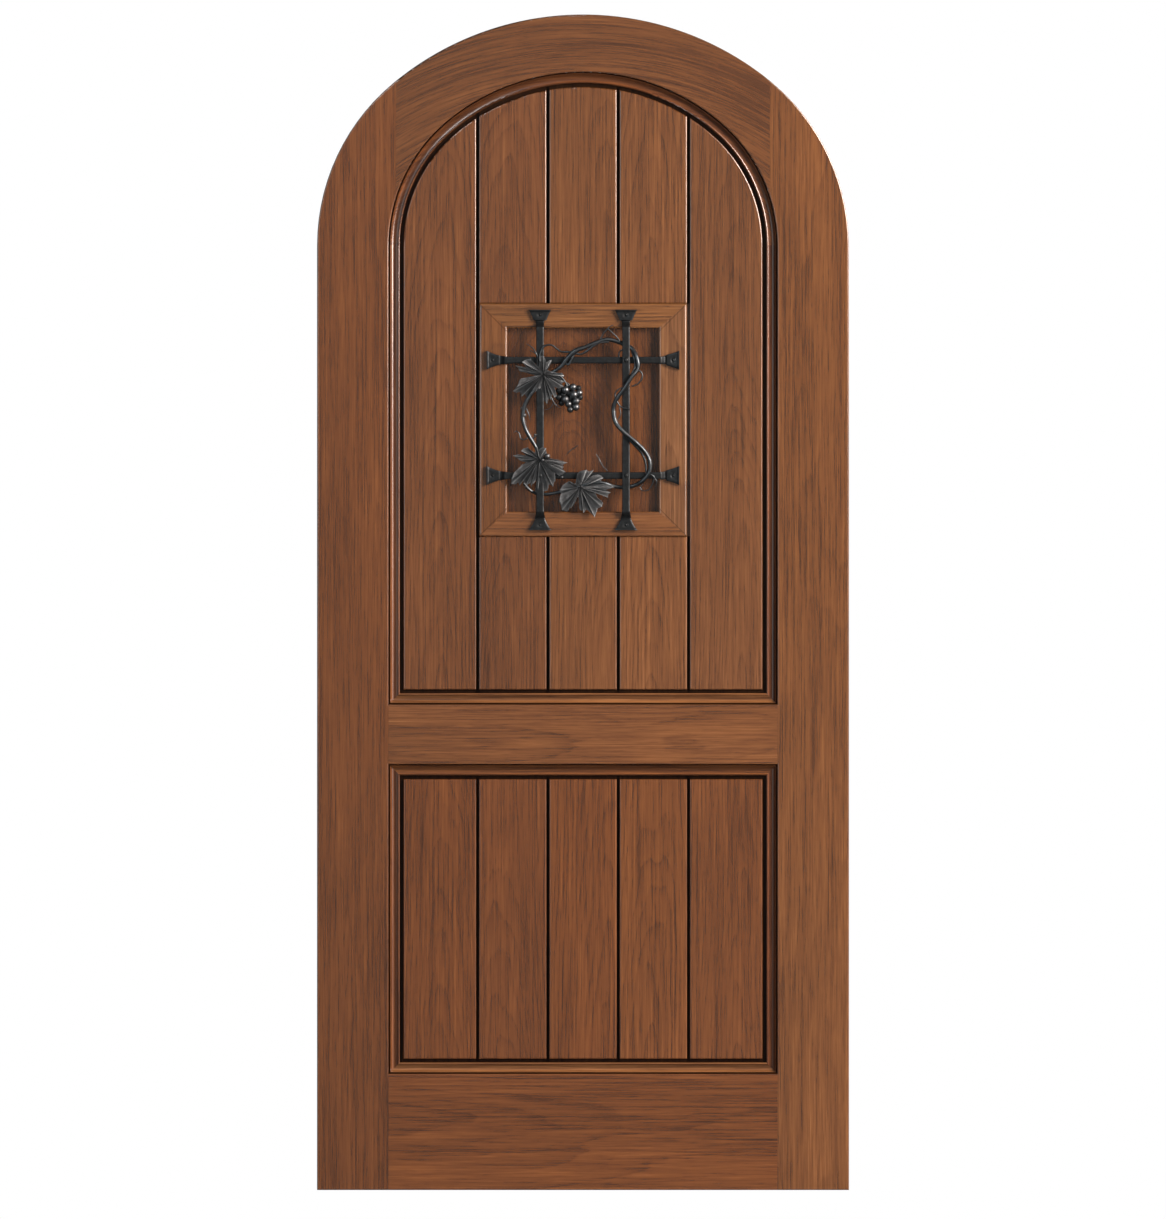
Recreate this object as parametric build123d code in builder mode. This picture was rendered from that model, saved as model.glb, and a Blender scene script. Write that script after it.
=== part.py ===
from build123d import *
from collections import namedtuple
from math import acos, cos, radians, sin, tan
import os

os.makedirs("parts", exist_ok=True)

# An entrance door leaf of solid wood with a three-centred arched head. Two planked panels stand in stiles and
# rails, and the upper one frames a small hinged shutter behind a wrought iron grille with a grapevine.
# All sizes are in millimetres. The origin is on the hinge edge, at mid thickness and at the bottom. X runs to
# the lock edge, the front faces -Y and Z is up. A depth is a distance in front of the mid plane.

# Door leaf
leaf_width = 908.0
leaf_height = 2007.0
leaf_thickness = 44.5
arch_rise = 394.0
crown_half_angle = 40.0
stile_width = 122.0
crown_rail_height = 98.0
mid_rail_z = 727.0
mid_rail_height = 102.0
bottom_rail_height = 198.5
head_joint_inset = 13.0
head_joint_nib = 4.0
arris_radius = 2.4

# Planked panels
plank_count = 5
plank_pitch = 120.0
plank_thickness = 25.4
plank_arris_radius = 2.2
shadow_gap = 4.8
field_gap = 6.6
panel_core_thickness = 13.0
tongue_thickness = 6.0
tongue_reach = 6.0
tongue_clearance = 0.2

# Panel mouldings
moulding_width = 19.0
moulding_step_down = 4.0
quirk_width = 2.4
quirk_depth = 7.5
moulding_fillet = 0.8
cove_radius = 6.8
bead_width = 4.0
bead_base_depth = 12.1
bead_depth = 13.3

# Frame of the shutter opening
opening_center_z = 1314.8
opening_frame_height = 397.5
frame_side_width = 48.5
frame_rail_height = 42.0
opening_frame_thickness = 36.0
frame_arris_radius = 4.0
rebate_width = 12.0
rebate_stop_thickness = 12.0

# Shutter, hinges and knob
shutter_clearance = 5.0
shutter_arris_radius = 1.5
hinge_height = 60.0
hinge_leaf_width = 30.0
hinge_leaf_thickness = 2.0
hinge_barrel_radius = 4.0
hinge_pin_radius = 2.0
hinge_pin_clearance = 0.3
hinge_barrel_gap = 0.5
hinge_side_gap = 0.5
hinge_end_margin = 45.0
knob_projection = 26.0
knob_radius = 11.0
knob_base_radius = 9.0
knob_neck_radius = 4.5
knob_base_height = 3.0
knob_neck_start = 7.0
knob_head_start = 11.0
knob_edge_margin = 26.0

# Iron grille
bar_thickness = 5.0
column_bar_width = 13.0
row_bar_width = 11.7
column_offset = 73.4
top_row_offset = 102.0
bottom_row_offset = -95.0
row_standoff = 4.0
column_foot_length = 19.0
column_foot_width = 38.5
column_foot_neck = 20.0
column_foot_margin = 10.5
row_foot_length = 23.0
row_foot_width = 32.0
row_foot_neck = 17.0
row_foot_margin = 13.0
foot_thickness = 6.0
foot_rim_width = 3.2
foot_rim_height = 1.4
foot_waist_share = 0.55
foot_waist_slimness = 0.22
bar_bend_radius = 4.0
column_ramp_length = 14.0
row_ramp_length = 9.0
screw_share = 0.56
screw_head_radius = 3.4
screw_head_height = 1.8
head_taper = 40.0
rivet_radius = 4.2
rivet_height = 2.6

# Grapevine
vine_radius = 3.6
branch_radius = 3.2
leaf_plate_thickness = 2.6
leaf_back_depth = 33.2
vine_bend_share = 0.45
stalk_radius = 1.6
stalk_drop = 8.0
stalk_seat_gap = 0.1
grape_radius = 5.4
grape_pitch = 10.0
grape_row_pitch = 9.2
grape_leaf_gap = 0.4
grape_stagger = 2.0

# Values worked out from the sizes above
mid_x = leaf_width / 2
face_depth = leaf_thickness / 2
spring_z = leaf_height - arch_rise
field_inset = moulding_width + field_gap
upper_panel_z = mid_rail_z + mid_rail_height
opening_frame_width = 3 * plank_pitch - shadow_gap
opening_width = opening_frame_width - 2 * frame_side_width
opening_height = opening_frame_height - 2 * frame_rail_height
opening_frame_depth = opening_frame_thickness / 2
shutter_width = opening_width + 2 * rebate_width - 2 * shutter_clearance
shutter_height = opening_height + 2 * rebate_width - 2 * shutter_clearance
shutter_front_depth = opening_frame_depth - rebate_stop_thickness - shutter_clearance
shutter_thickness = shutter_front_depth + opening_frame_depth
cutter = 2 * leaf_height

Arch = namedtuple("Arch", "half_width rise crown_radius haunch_radius")


def three_centred_arch(half_width, rise):
    """Give the radii of an arch whose flat crown arc runs into two tangent haunch arcs."""
    angle = radians(crown_half_angle)
    excess = (half_width - rise) / (sin(angle) + cos(angle) - 1)
    return Arch(half_width, rise, rise + excess * cos(angle), half_width - excess * sin(angle))


leaf_arch = three_centred_arch(mid_x, arch_rise)
panel_arch = three_centred_arch(mid_x - stile_width, arch_rise - crown_rail_height)


def draw_arch(arch, inset):
    """Draw the arch from its right springing to its left one, inset from its edge."""
    haunch_x = arch.half_width - arch.haunch_radius
    crown_z = spring_z + arch.rise - arch.crown_radius
    haunch_angle = 90 - crown_half_angle
    haunch_radius = arch.haunch_radius - inset
    CenterArc((mid_x + haunch_x, spring_z), haunch_radius, 0, haunch_angle)
    CenterArc((mid_x, crown_z), arch.crown_radius - inset, haunch_angle, 2 * crown_half_angle)
    CenterArc((mid_x - haunch_x, spring_z), haunch_radius, 180 - haunch_angle, haunch_angle)


def draw_arched_outline(arch, bottom, inset=0.0):
    """Draw a closed outline, straight below the spring line and arched above it."""
    left = mid_x - arch.half_width + inset
    right = mid_x + arch.half_width - inset
    low = bottom + inset
    with BuildLine() as outline:
        draw_arch(arch, inset)
        Polyline((left, spring_z), (left, low), (right, low), (right, spring_z))
    make_face(outline.edges())


def draw_box(left, low, right, high, mode=Mode.ADD):
    """Draw a rectangle between two corners."""
    center = ((left + right) / 2, (low + high) / 2)
    with Locations(center):
        Rectangle(right - left, high - low, mode=mode)


def draw_upper_panel(inset=0.0):
    draw_arched_outline(panel_arch, upper_panel_z, inset)


def draw_lower_panel(inset=0.0):
    draw_box(stile_width + inset, bottom_rail_height + inset,
             leaf_width - stile_width - inset, mid_rail_z - inset)


def export_piece(part, name):
    part.label = name
    export_step(part, f"parts/{name}.step")


# Stiles and rails. The whole frame is shaped at once, so that the eased arrises meet in its corners, and each
# member is the part of it between its joints.
with BuildPart() as leaf_frame:
    with BuildSketch(Plane.XZ):
        draw_arched_outline(leaf_arch, 0)
    extrude(amount=face_depth, both=True)
    for draw_panel in (draw_upper_panel, draw_lower_panel):
        with BuildSketch(Plane.XZ):
            draw_panel()
        extrude(amount=leaf_thickness, both=True, mode=Mode.SUBTRACT)
    faces_by_depth = leaf_frame.faces().sort_by(Axis.Y)
    fillet(faces_by_depth[0].edges() + faces_by_depth[-1].edges(), arris_radius)

# The joint between a stile and the arched rail stands upright, and its foot turns square to the arch, so that
# no member ends in a thin tip.
head_joint_x = stile_width + head_joint_inset
haunch_center_x = mid_x - panel_arch.half_width + panel_arch.haunch_radius
head_joint_angle = acos((haunch_center_x - head_joint_x) / (panel_arch.haunch_radius + head_joint_nib))


def head_joint_point(outset):
    """Give the point of the joint's foot at that distance outside the arch of the panel."""
    radius = panel_arch.haunch_radius + outset
    return haunch_center_x - radius * cos(head_joint_angle), spring_z + radius * sin(head_joint_angle)


def mirrored(points):
    return [(leaf_width - x, z) for x, z in reversed(points)]


def box_region(left, low, right, high):
    return [(left, low), (right, low), (right, high), (left, high)]


head_joint = [head_joint_point(-head_joint_nib), head_joint_point(head_joint_nib), (head_joint_x, cutter)]
stile_region = [(-stile_width, cutter), (-stile_width, -stile_width), (stile_width, -stile_width),
                (stile_width, spring_z)] + head_joint
rail_end = leaf_width - stile_width
for name, region in (
    ("hinge_stile", stile_region),
    ("lock_stile", mirrored(stile_region)),
    ("arched_top_rail", head_joint + mirrored(head_joint)),
    ("mid_rail", box_region(stile_width, mid_rail_z, rail_end, upper_panel_z)),
    ("bottom_rail", box_region(stile_width, -stile_width, rail_end, bottom_rail_height)),
):
    with BuildPart() as member:
        add(leaf_frame.part)
        with BuildSketch(Plane.XZ):
            with BuildLine():
                Polyline(*region, close=True)
            make_face()
        extrude(amount=leaf_thickness, both=True, mode=Mode.INTERSECT)
    export_piece(member.part, name)

# Planks, tongued on their right edge and grooved on their left. The planks in the middle of the upper panel
# stop at the frame of the shutter opening.
first_joint_x = mid_x - plank_pitch * (plank_count / 2 - 1)
frame_low_z = opening_center_z - opening_frame_height / 2
frame_high_z = opening_center_z + opening_frame_height / 2
frame_left_x = mid_x - opening_frame_width / 2
frame_right_x = mid_x + opening_frame_width / 2


def make_plank(name, index, draw_panel, stops_at_frame):
    is_first, is_last = index == 0, index == plank_count - 1
    left = 0 if is_first else first_joint_x + (index - 1) * plank_pitch + shadow_gap / 2
    right = leaf_width if is_last else first_joint_x + index * plank_pitch - shadow_gap / 2

    def draw_strip(inset, low_x, high_x):
        draw_panel(inset)
        draw_box(low_x, 0, high_x, leaf_height, mode=Mode.INTERSECT)
        if stops_at_frame:
            draw_box(0, frame_low_z, leaf_width, frame_high_z, mode=Mode.SUBTRACT)

    with BuildPart() as plank:
        with BuildSketch(Plane.XZ):
            draw_strip(field_inset, left, right)
        extrude(amount=plank_thickness / 2, both=True)
        faces_by_depth = plank.faces().group_by(Axis.Y)
        fillet(faces_by_depth[0].edges() + faces_by_depth[-1].edges(), plank_arris_radius)
        with BuildSketch(Plane.XZ):
            draw_strip(0, left, right)
        extrude(amount=panel_core_thickness / 2, both=True)
        if not is_first:
            with BuildSketch(Plane.XZ):
                draw_strip(0, left, left + tongue_reach + tongue_clearance)
            groove_thickness = tongue_thickness + 2 * tongue_clearance
            extrude(amount=groove_thickness / 2, both=True, mode=Mode.SUBTRACT)
        if not is_last:
            with BuildSketch(Plane.XZ):
                draw_strip(0, right, right + shadow_gap + tongue_reach)
            extrude(amount=tongue_thickness / 2, both=True)
    export_piece(plank.part, name)


for index in range(plank_count):
    inner_plank = 0 < index < plank_count - 1
    make_plank(f"upper_plank_{index + 1}", index, draw_upper_panel, inner_plank)
    make_plank(f"lower_plank_{index + 1}", index, draw_lower_panel, False)


# Mouldings around both panels, on the front and on the back, mitred in the corners
def draw_moulding_sections():
    """Draw the front and the back section. X is the distance from the panel's edge, Y the depth."""
    core = panel_core_thickness / 2
    top = face_depth - moulding_step_down
    quirk = face_depth - quirk_depth
    cove_start = quirk_width + moulding_fillet
    cove_end = cove_start + cove_radius
    bead_start = moulding_width - bead_width
    with BuildLine() as section:
        Polyline((cove_start, top), (quirk_width, top), (quirk_width, quirk), (0, quirk), (0, core),
                 (moulding_width, core), (moulding_width, bead_base_depth))
        ThreePointArc((moulding_width, bead_base_depth), (moulding_width - bead_width / 2, bead_depth),
                      (bead_start, bead_base_depth))
        TangentArc((cove_end, top - cove_radius), (bead_start, bead_base_depth), tangent=(1, 0))
        CenterArc((cove_end, top), cove_radius, 180, 90)
    make_face(section.edges())
    mirror(about=Plane.XZ)


def make_straight_moulding(name, start, along, inward, length, mitre_start, mitre_end):
    """Run the section from a corner of the panel along one side, with its ends mitred or square."""
    start, along, inward = Vector(*start), Vector(*along), Vector(*inward)
    end = start + along * length
    start_in = start + inward * moulding_width + along * (moulding_width * mitre_start)
    end_in = end + inward * moulding_width - along * (moulding_width * mitre_end)
    corners = [(p.X, p.Z) for p in (start, end, end_in, start_in)]
    with BuildPart() as moulding:
        with BuildSketch(Plane(origin=start, x_dir=inward, z_dir=along)):
            draw_moulding_sections()
        extrude(amount=length)
        with BuildSketch(Plane.XZ):
            with BuildLine():
                Polyline(*corners, close=True)
            make_face()
        extrude(amount=leaf_thickness, both=True, mode=Mode.INTERSECT)
    export_piece(moulding.part, name)


panel_left, panel_right = stile_width, leaf_width - stile_width
up, down, rightward, leftward = (0, 0, 1), (0, 0, -1), (1, 0, 0), (-1, 0, 0)
panel_width = panel_right - panel_left
upper_side = spring_z - upper_panel_z
lower_side = mid_rail_z - bottom_rail_height
for name, start, along, inward, length, mitre_start, mitre_end in (
    ("upper_moulding_left", (panel_left, 0, upper_panel_z), up, rightward, upper_side, 1, 0),
    ("upper_moulding_right", (panel_right, 0, upper_panel_z), up, leftward, upper_side, 1, 0),
    ("upper_moulding_bottom", (panel_left, 0, upper_panel_z), rightward, up, panel_width, 1, 1),
    ("lower_moulding_left", (panel_left, 0, bottom_rail_height), up, rightward, lower_side, 1, 1),
    ("lower_moulding_right", (panel_right, 0, bottom_rail_height), up, leftward, lower_side, 1, 1),
    ("lower_moulding_bottom", (panel_left, 0, bottom_rail_height), rightward, up, panel_width, 1, 1),
    ("lower_moulding_top", (panel_left, 0, mid_rail_z), rightward, down, panel_width, 1, 1),
):
    make_straight_moulding(name, start, along, inward, length, mitre_start, mitre_end)

with BuildPart() as upper_moulding_arch:
    with BuildLine(Plane.XZ) as arch_path:
        draw_arch(panel_arch, 0)
    with BuildSketch(Plane(origin=(panel_right, 0, spring_z), x_dir=leftward, z_dir=up)):
        draw_moulding_sections()
    sweep(path=arch_path.wires()[0])
export_piece(upper_moulding_arch.part, "upper_moulding_arch")

# Frame of the shutter opening, mitred from corner to corner, with a rebate behind a stop for the shutter
with BuildPart() as opening_frame:
    with BuildSketch(Plane.XZ):
        draw_box(frame_left_x, frame_low_z, frame_right_x, frame_high_z)
    extrude(amount=opening_frame_depth, both=True)
    opening_center = Plane.XZ.shift_origin((mid_x, 0, opening_center_z))
    with BuildSketch(opening_center):
        Rectangle(opening_width, opening_height)
    extrude(amount=opening_frame_thickness, both=True, mode=Mode.SUBTRACT)
    with BuildSketch(opening_center.offset(-opening_frame_depth)):
        Rectangle(opening_width + 2 * rebate_width, opening_height + 2 * rebate_width)
    extrude(amount=opening_frame_thickness - rebate_stop_thickness, mode=Mode.SUBTRACT)
    with BuildSketch(Plane.XZ):
        draw_box(frame_left_x, frame_low_z, frame_left_x + tongue_reach + tongue_clearance, frame_high_z)
    extrude(amount=tongue_thickness / 2 + tongue_clearance, both=True, mode=Mode.SUBTRACT)
    with BuildSketch(Plane.XZ):
        draw_box(frame_right_x, frame_low_z, frame_right_x + shadow_gap + tongue_reach, frame_high_z)
    extrude(amount=tongue_thickness / 2, both=True)


def ease_frame_arrises(member, length_axis, across_axis, outer_index):
    """Round both front arrises of a frame member and the outer one at its back."""
    front_face, *_, back_face = member.faces().filter_by(Axis.Y).sort_by(Axis.Y)
    back_arris = back_face.edges().filter_by(length_axis).sort_by(across_axis)[outer_index]
    fillet(front_face.edges().filter_by(length_axis) + [back_arris], frame_arris_radius)


frame_corner = (opening_frame_width / 2, opening_frame_height / 2)
opening_corner = (opening_width / 2, opening_height / 2)


def draw_frame_rail_region(side):
    """Draw the region of the rail above the opening (side 1) or below it (side -1)."""
    with BuildLine() as region:
        Polyline((-frame_corner[0], side * frame_corner[1]), (frame_corner[0], side * frame_corner[1]),
                 (opening_corner[0], side * opening_corner[1]),
                 (-opening_corner[0], side * opening_corner[1]), close=True)
    make_face(region.edges())


for name, side in (("opening_frame_top", 1), ("opening_frame_bottom", -1)):
    with BuildPart() as frame_rail:
        add(opening_frame.part)
        with BuildSketch(opening_center):
            draw_frame_rail_region(side)
        extrude(amount=opening_frame_thickness, both=True, mode=Mode.INTERSECT)
        ease_frame_arrises(frame_rail, Axis.X, Axis.Z, (side - 1) // 2)
    export_piece(frame_rail.part, name)

for name, side in (("opening_frame_left", -1), ("opening_frame_right", 1)):
    tongue_edge = side * (frame_corner[0] + shadow_gap + tongue_reach)
    with BuildPart() as frame_side:
        add(opening_frame.part)
        with BuildSketch(opening_center):
            with BuildLine():
                Polyline((tongue_edge, frame_corner[1]), (side * frame_corner[0], frame_corner[1]),
                         (side * opening_corner[0], opening_corner[1]),
                         (side * opening_corner[0], -opening_corner[1]),
                         (side * frame_corner[0], -frame_corner[1]), (tongue_edge, -frame_corner[1]),
                         close=True)
            make_face()
        extrude(amount=opening_frame_thickness, both=True, mode=Mode.INTERSECT)
        ease_frame_arrises(frame_side, Axis.Z, Axis.X, (side - 1) // 2)
    export_piece(frame_side.part, name)

# Shutter that closes the opening from the back and swings to the back on its left side
shutter_left = mid_x - shutter_width / 2
shutter_right = mid_x + shutter_width / 2
with BuildPart() as shutter_panel:
    with BuildSketch(opening_center.offset(shutter_front_depth)):
        Rectangle(shutter_width, shutter_height)
    extrude(amount=-shutter_thickness)
    fillet(shutter_panel.edges().filter_by(Axis.Y, reverse=True), shutter_arris_radius)
export_piece(shutter_panel.part, "shutter_panel")

# Two butt hinges on the back face. The barrel lies over the gap beside the shutter.
barrel_x = shutter_left - shutter_clearance / 2
barrel_y = opening_frame_depth + hinge_barrel_radius
barrel_length = hinge_height / 3
hinge_spread = (shutter_height - hinge_height) / 2 - hinge_end_margin
back_face = Plane.XZ.offset(-opening_frame_depth)


def draw_hinge_leaf(side, low, high, barrel_zone_low, barrel_zone_high):
    """Draw a leaf plate whose edge stands clear of the barrel where the other leaf has its knuckles."""
    edge = barrel_x + side * (hinge_barrel_radius + hinge_side_gap)
    draw_box(min(edge, barrel_x + side * hinge_leaf_width), low,
             max(edge, barrel_x + side * hinge_leaf_width), high)
    draw_box(min(barrel_x, edge), barrel_zone_low, max(barrel_x, edge), barrel_zone_high)


for name, z in (("upper", opening_center_z + hinge_spread), ("lower", opening_center_z - hinge_spread)):
    low, high = z - hinge_height / 2, z + hinge_height / 2
    middle_low = low + barrel_length
    middle_high = high - barrel_length
    with BuildPart() as fixed_leaf:
        with BuildSketch(back_face):
            draw_hinge_leaf(-1, low, high, low, middle_low)
            draw_hinge_leaf(-1, low, high, middle_high, high)
        extrude(amount=-hinge_leaf_thickness)
        for knuckle_z in (low, middle_high):
            with BuildSketch(Plane.XY.offset(knuckle_z)):
                with Locations((barrel_x, barrel_y)):
                    Circle(hinge_barrel_radius)
            extrude(amount=barrel_length)
        with BuildSketch(Plane.XY.offset(low)):
            with Locations((barrel_x, barrel_y)):
                Circle(hinge_pin_radius)
        extrude(amount=hinge_height)
    export_piece(fixed_leaf.part, f"{name}_hinge_fixed_leaf")

    with BuildPart() as moving_leaf:
        with BuildSketch(back_face):
            draw_hinge_leaf(1, low, high, middle_low + hinge_barrel_gap, middle_high - hinge_barrel_gap)
        extrude(amount=-hinge_leaf_thickness)
        with BuildSketch(Plane.XY.offset(middle_low + hinge_barrel_gap)):
            with Locations((barrel_x, barrel_y)):
                Circle(hinge_barrel_radius)
        extrude(amount=barrel_length - 2 * hinge_barrel_gap)
        with BuildSketch(Plane.XY.offset(middle_low)):
            with Locations((barrel_x, barrel_y)):
                Circle(hinge_pin_radius + hinge_pin_clearance)
        extrude(amount=barrel_length, mode=Mode.SUBTRACT)
    export_piece(moving_leaf.part, f"{name}_hinge_moving_leaf")

# Turned knob on the back of the shutter, near its free edge
with BuildPart() as shutter_knob:
    knob_seat = Plane(origin=(shutter_right - knob_edge_margin, opening_frame_depth, opening_center_z),
                      x_dir=(1, 0, 0), z_dir=(0, 0, 1))
    with BuildSketch(knob_seat):
        with BuildLine():
            Polyline((knob_neck_radius, knob_projection), (0, knob_projection), (0, 0), (knob_base_radius, 0),
                     (knob_base_radius, knob_base_height), (knob_neck_radius, knob_neck_start),
                     (knob_neck_radius, knob_head_start))
            ThreePointArc((knob_neck_radius, knob_head_start),
                          (knob_radius, (knob_head_start + knob_projection) / 2),
                          (knob_neck_radius, knob_projection))
        make_face()
    revolve(axis=Axis(knob_seat.origin, (0, 1, 0)))
export_piece(shutter_knob.part, "shutter_knob")

# Grille of two rows and two columns of forged bars. The columns pass in front of the rows, and each end bends
# back to a flared foot screwed to the frame.
row_back_depth = opening_frame_depth + row_standoff
column_back_depth = row_back_depth + bar_thickness
foot_seat_depth = opening_frame_depth
column_reach = opening_frame_height / 2 - column_foot_margin
row_reach = opening_frame_width / 2 - row_foot_margin
front = Vector(0, -1, 0)


def make_bar(name, center, along, reach, width, back_depth, foot_length, foot_width, neck_width, ramp_length):
    """Bend a flat bar in the plane of its length and depth, and flare its two feet."""
    along = Vector(*along)
    foot_depth = foot_seat_depth + bar_thickness / 2
    bar_depth = back_depth + bar_thickness / 2
    neck = reach - foot_length
    bend = neck - ramp_length
    with BuildPart() as bar:
        with BuildSketch(Plane(origin=center, x_dir=along, z_dir=along.cross(front))):
            with BuildLine():
                FilletPolyline((-reach + foot_rim_width, foot_depth), (-neck, foot_depth), (-bend, bar_depth),
                               (bend, bar_depth), (neck, foot_depth), (reach - foot_rim_width, foot_depth),
                               radius=bar_bend_radius)
            trace(line_width=bar_thickness)
        extrude(amount=width / 2, both=True)
        for side in (-1, 1):
            seat = center + along * (side * reach) + front * foot_seat_depth
            foot_plane = Plane(origin=seat, x_dir=along * -side, z_dir=front)
            with BuildSketch(foot_plane):
                with BuildLine():
                    Line((0, foot_width / 2), (0, -foot_width / 2))
                    Line((foot_length, -neck_width / 2), (foot_length, neck_width / 2))
                    for edge in (-1, 1):
                        waist = (foot_length * foot_waist_share,
                                 edge * (foot_width + neck_width) * foot_waist_slimness)
                        ThreePointArc((0, edge * foot_width / 2), waist, (foot_length, edge * neck_width / 2))
                make_face()
            extrude(amount=foot_thickness)
            with BuildSketch(foot_plane):
                with Locations((foot_rim_width / 2, 0)):
                    Rectangle(foot_rim_width, foot_width)
            extrude(amount=foot_thickness + foot_rim_height)
    export_piece(bar.part, name)


opening_middle = Vector(mid_x, 0, opening_center_z)
for name, side in (("grille_column_left", -1), ("grille_column_right", 1)):
    make_bar(name, opening_middle + Vector(side * column_offset, 0, 0), up, column_reach, column_bar_width,
             column_back_depth, column_foot_length, column_foot_width, column_foot_neck, column_ramp_length)
for name, offset in (("grille_row_top", top_row_offset), ("grille_row_bottom", bottom_row_offset)):
    make_bar(name, opening_middle + Vector(0, 0, offset), rightward, row_reach, row_bar_width,
             row_back_depth, row_foot_length, row_foot_width, row_foot_neck, row_ramp_length)

screw_x = row_reach - row_foot_length * screw_share
screw_z = column_reach - column_foot_length * screw_share
screw_places = [(x, z) for x in (-column_offset, column_offset) for z in (-screw_z, screw_z)]
screw_places += [(x, z) for x in (-screw_x, screw_x) for z in (top_row_offset, bottom_row_offset)]
rivet_places = [(column_offset, top_row_offset), (column_offset, bottom_row_offset)]
with BuildPart() as grille_fasteners:
    with BuildSketch(opening_center.offset(foot_seat_depth + foot_thickness)):
        with Locations(*screw_places):
            Circle(screw_head_radius)
    extrude(amount=screw_head_height, taper=head_taper)
    with BuildSketch(opening_center.offset(column_back_depth + bar_thickness)):
        with Locations(*rivet_places):
            Circle(rivet_radius)
    extrude(amount=rivet_height, taper=head_taper)
export_piece(grille_fasteners.part, "grille_fasteners")


# Grapevine. A point is the distance to the right of the opening's middle, its height above it and its depth.
def vine_point(x, z, depth):
    return opening_middle + Vector(x, -depth, z)


def make_tube(points, radius):
    """Sweep a round rod along straight runs joined by the largest tangent arcs that they allow."""
    places = [vine_point(*p) for p in points]
    bends = []
    for before, here, after in zip(places, places[1:], places[2:]):
        run_in, run_out = here - before, after - here
        half_turn = radians(run_in.get_angle(run_out)) / 2
        bends.append(vine_bend_share * min(run_in.length, run_out.length) / tan(half_turn))
    with BuildLine() as route:
        FilletPolyline(*places, radius=bends)
    rod = route.wires()[0]
    with BuildSketch(Plane(origin=rod @ 0, z_dir=rod % 0)) as section:
        Circle(radius)
    sweep(section.sketch, path=rod)


stem_points = [
    (-56, 80, 29.3), (-40, 90, 29.4), (-30, 100, 31.6), (-18, 114, 31.8), (10, 128, 27), (43, 136, 24),
    (66, 131, 22.8), (83, 122, 22.8), (92, 110, 32.4), (92, 88, 32.4), (80, 66, 36.2), (60, 40, 36.2),
    (51, 16, 31), (55, -4, 32.6), (64, -19, 36.2), (84, -35, 36.2), (101, -47, 33), (114, -66, 31.4),
    (113, -90, 31.2), (100, -107, 30.6), (86, -113, 23), (66, -115, 22.8), (49, -112, 24), (24, -105, 29.4),
]
left_branch_points = [(-86, 58, 29.8), (-98, 30, 29.4), (-103, 4, 30), (-95, -21, 29.4), (-87, -50, 29.8)]
low_branch_points = [(-26, -119, 29.8), (-44, -124, 26), (-62, -126, 23.2), (-84, -123, 23.4),
                     (-97, -115, 27), (-101, -107, 29.8)]
cluster_top = (-24, 55.4)
cluster_rows = (3, 4, 3, 2, 1)
berry_front_depth = leaf_back_depth - grape_leaf_gap - grape_radius
stalk_end = cluster_top[1] + grape_radius + stalk_seat_gap
stalk_points = [(-44, 87.5, 29.4), (-33, 76, 28.4),
                (cluster_top[0], stalk_end + stalk_drop, berry_front_depth),
                (cluster_top[0], stalk_end, berry_front_depth)]
with BuildPart() as vine_stem:
    make_tube(stem_points, vine_radius)
    make_tube(stalk_points, stalk_radius)
    make_tube(left_branch_points, branch_radius)
    make_tube(low_branch_points, branch_radius)
export_piece(vine_stem.part, "vine_stem")


# Vine leaves. A lobe has the angle and the length of its tip, the angle between its tip and its teeth, and
# the angle and length of the notch after it, going clockwise.
tooth_share = 0.84


def make_vine_leaf(name, center, lobes):
    with BuildPart() as vine_leaf:
        with BuildSketch(opening_center.offset(leaf_back_depth)):
            outline = []
            for angle, length, spread, notch_angle, notch_length in lobes:
                tooth_length = length * tooth_share
                outline += [(tooth_length, angle + spread), (length, angle), (tooth_length, angle - spread),
                            (notch_length, notch_angle)]
            with BuildLine():
                Polyline(*[(center[0] + r * cos(radians(a)), center[1] + r * sin(radians(a)))
                           for r, a in outline], close=True)
            make_face()
        extrude(amount=leaf_plate_thickness)
    export_piece(vine_leaf.part, name)


make_vine_leaf("vine_leaf_upper", (-67.6, 78), [
    (90, 33, 9, 74, 19), (60, 29, 6, 30, 16), (-12, 40, 20, -48, 29), (-64, 45, 7, -74, 38),
    (-86, 51, 8, -102, 26), (-142, 58, 17, -174, 14), (163, 50, 8, 153, 30), (139, 42, 13, 116, 15),
])
make_vine_leaf("vine_leaf_lower_left", (-75, -66.8), [
    (105, 22, 6, 93, 16), (62, 23, 13, 20, 10), (-18, 50, 13, -38, 36), (-58, 52, 8, -69, 46),
    (-90, 62, 9, -101, 36), (-114, 54, 7, -124, 46), (-139, 64, 9, -157, 26), (172, 45, 5, 164, 23),
    (145, 34, 12, 124, 18),
])
make_vine_leaf("vine_leaf_lower_right", (-4.9, -115.1), [
    (84, 30, 13, 62, 29), (52, 37, 5, 45, 24), (31, 41, 9, 14, 36), (1, 59, 5, -6, 43), (-14, 50, 5, -21, 29),
    (-37, 48, 8, -50, 43), (-64, 56, 8, -76, 40), (-84, 43, 6, -102, 17), (-122, 50, 10, -138, 42),
    (-160, 38, 14, 164, 28),
])

# Cluster of grapes that hangs on the stalk: rows of round berries that narrow towards the tip
with BuildPart() as grape_cluster:
    for row, count in enumerate(cluster_rows):
        row_z = cluster_top[1] - row * grape_row_pitch
        for i in range(count):
            berry_x = cluster_top[0] + (i - (count - 1) / 2) * grape_pitch
            berry_depth = berry_front_depth - grape_stagger * ((row + i + 1) % 2)
            with Locations(vine_point(berry_x, row_z, berry_depth)):
                Sphere(grape_radius, rotation=(0, 90, 0))
export_piece(grape_cluster.part, "grape_cluster")
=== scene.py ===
from math import radians, tau

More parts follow.
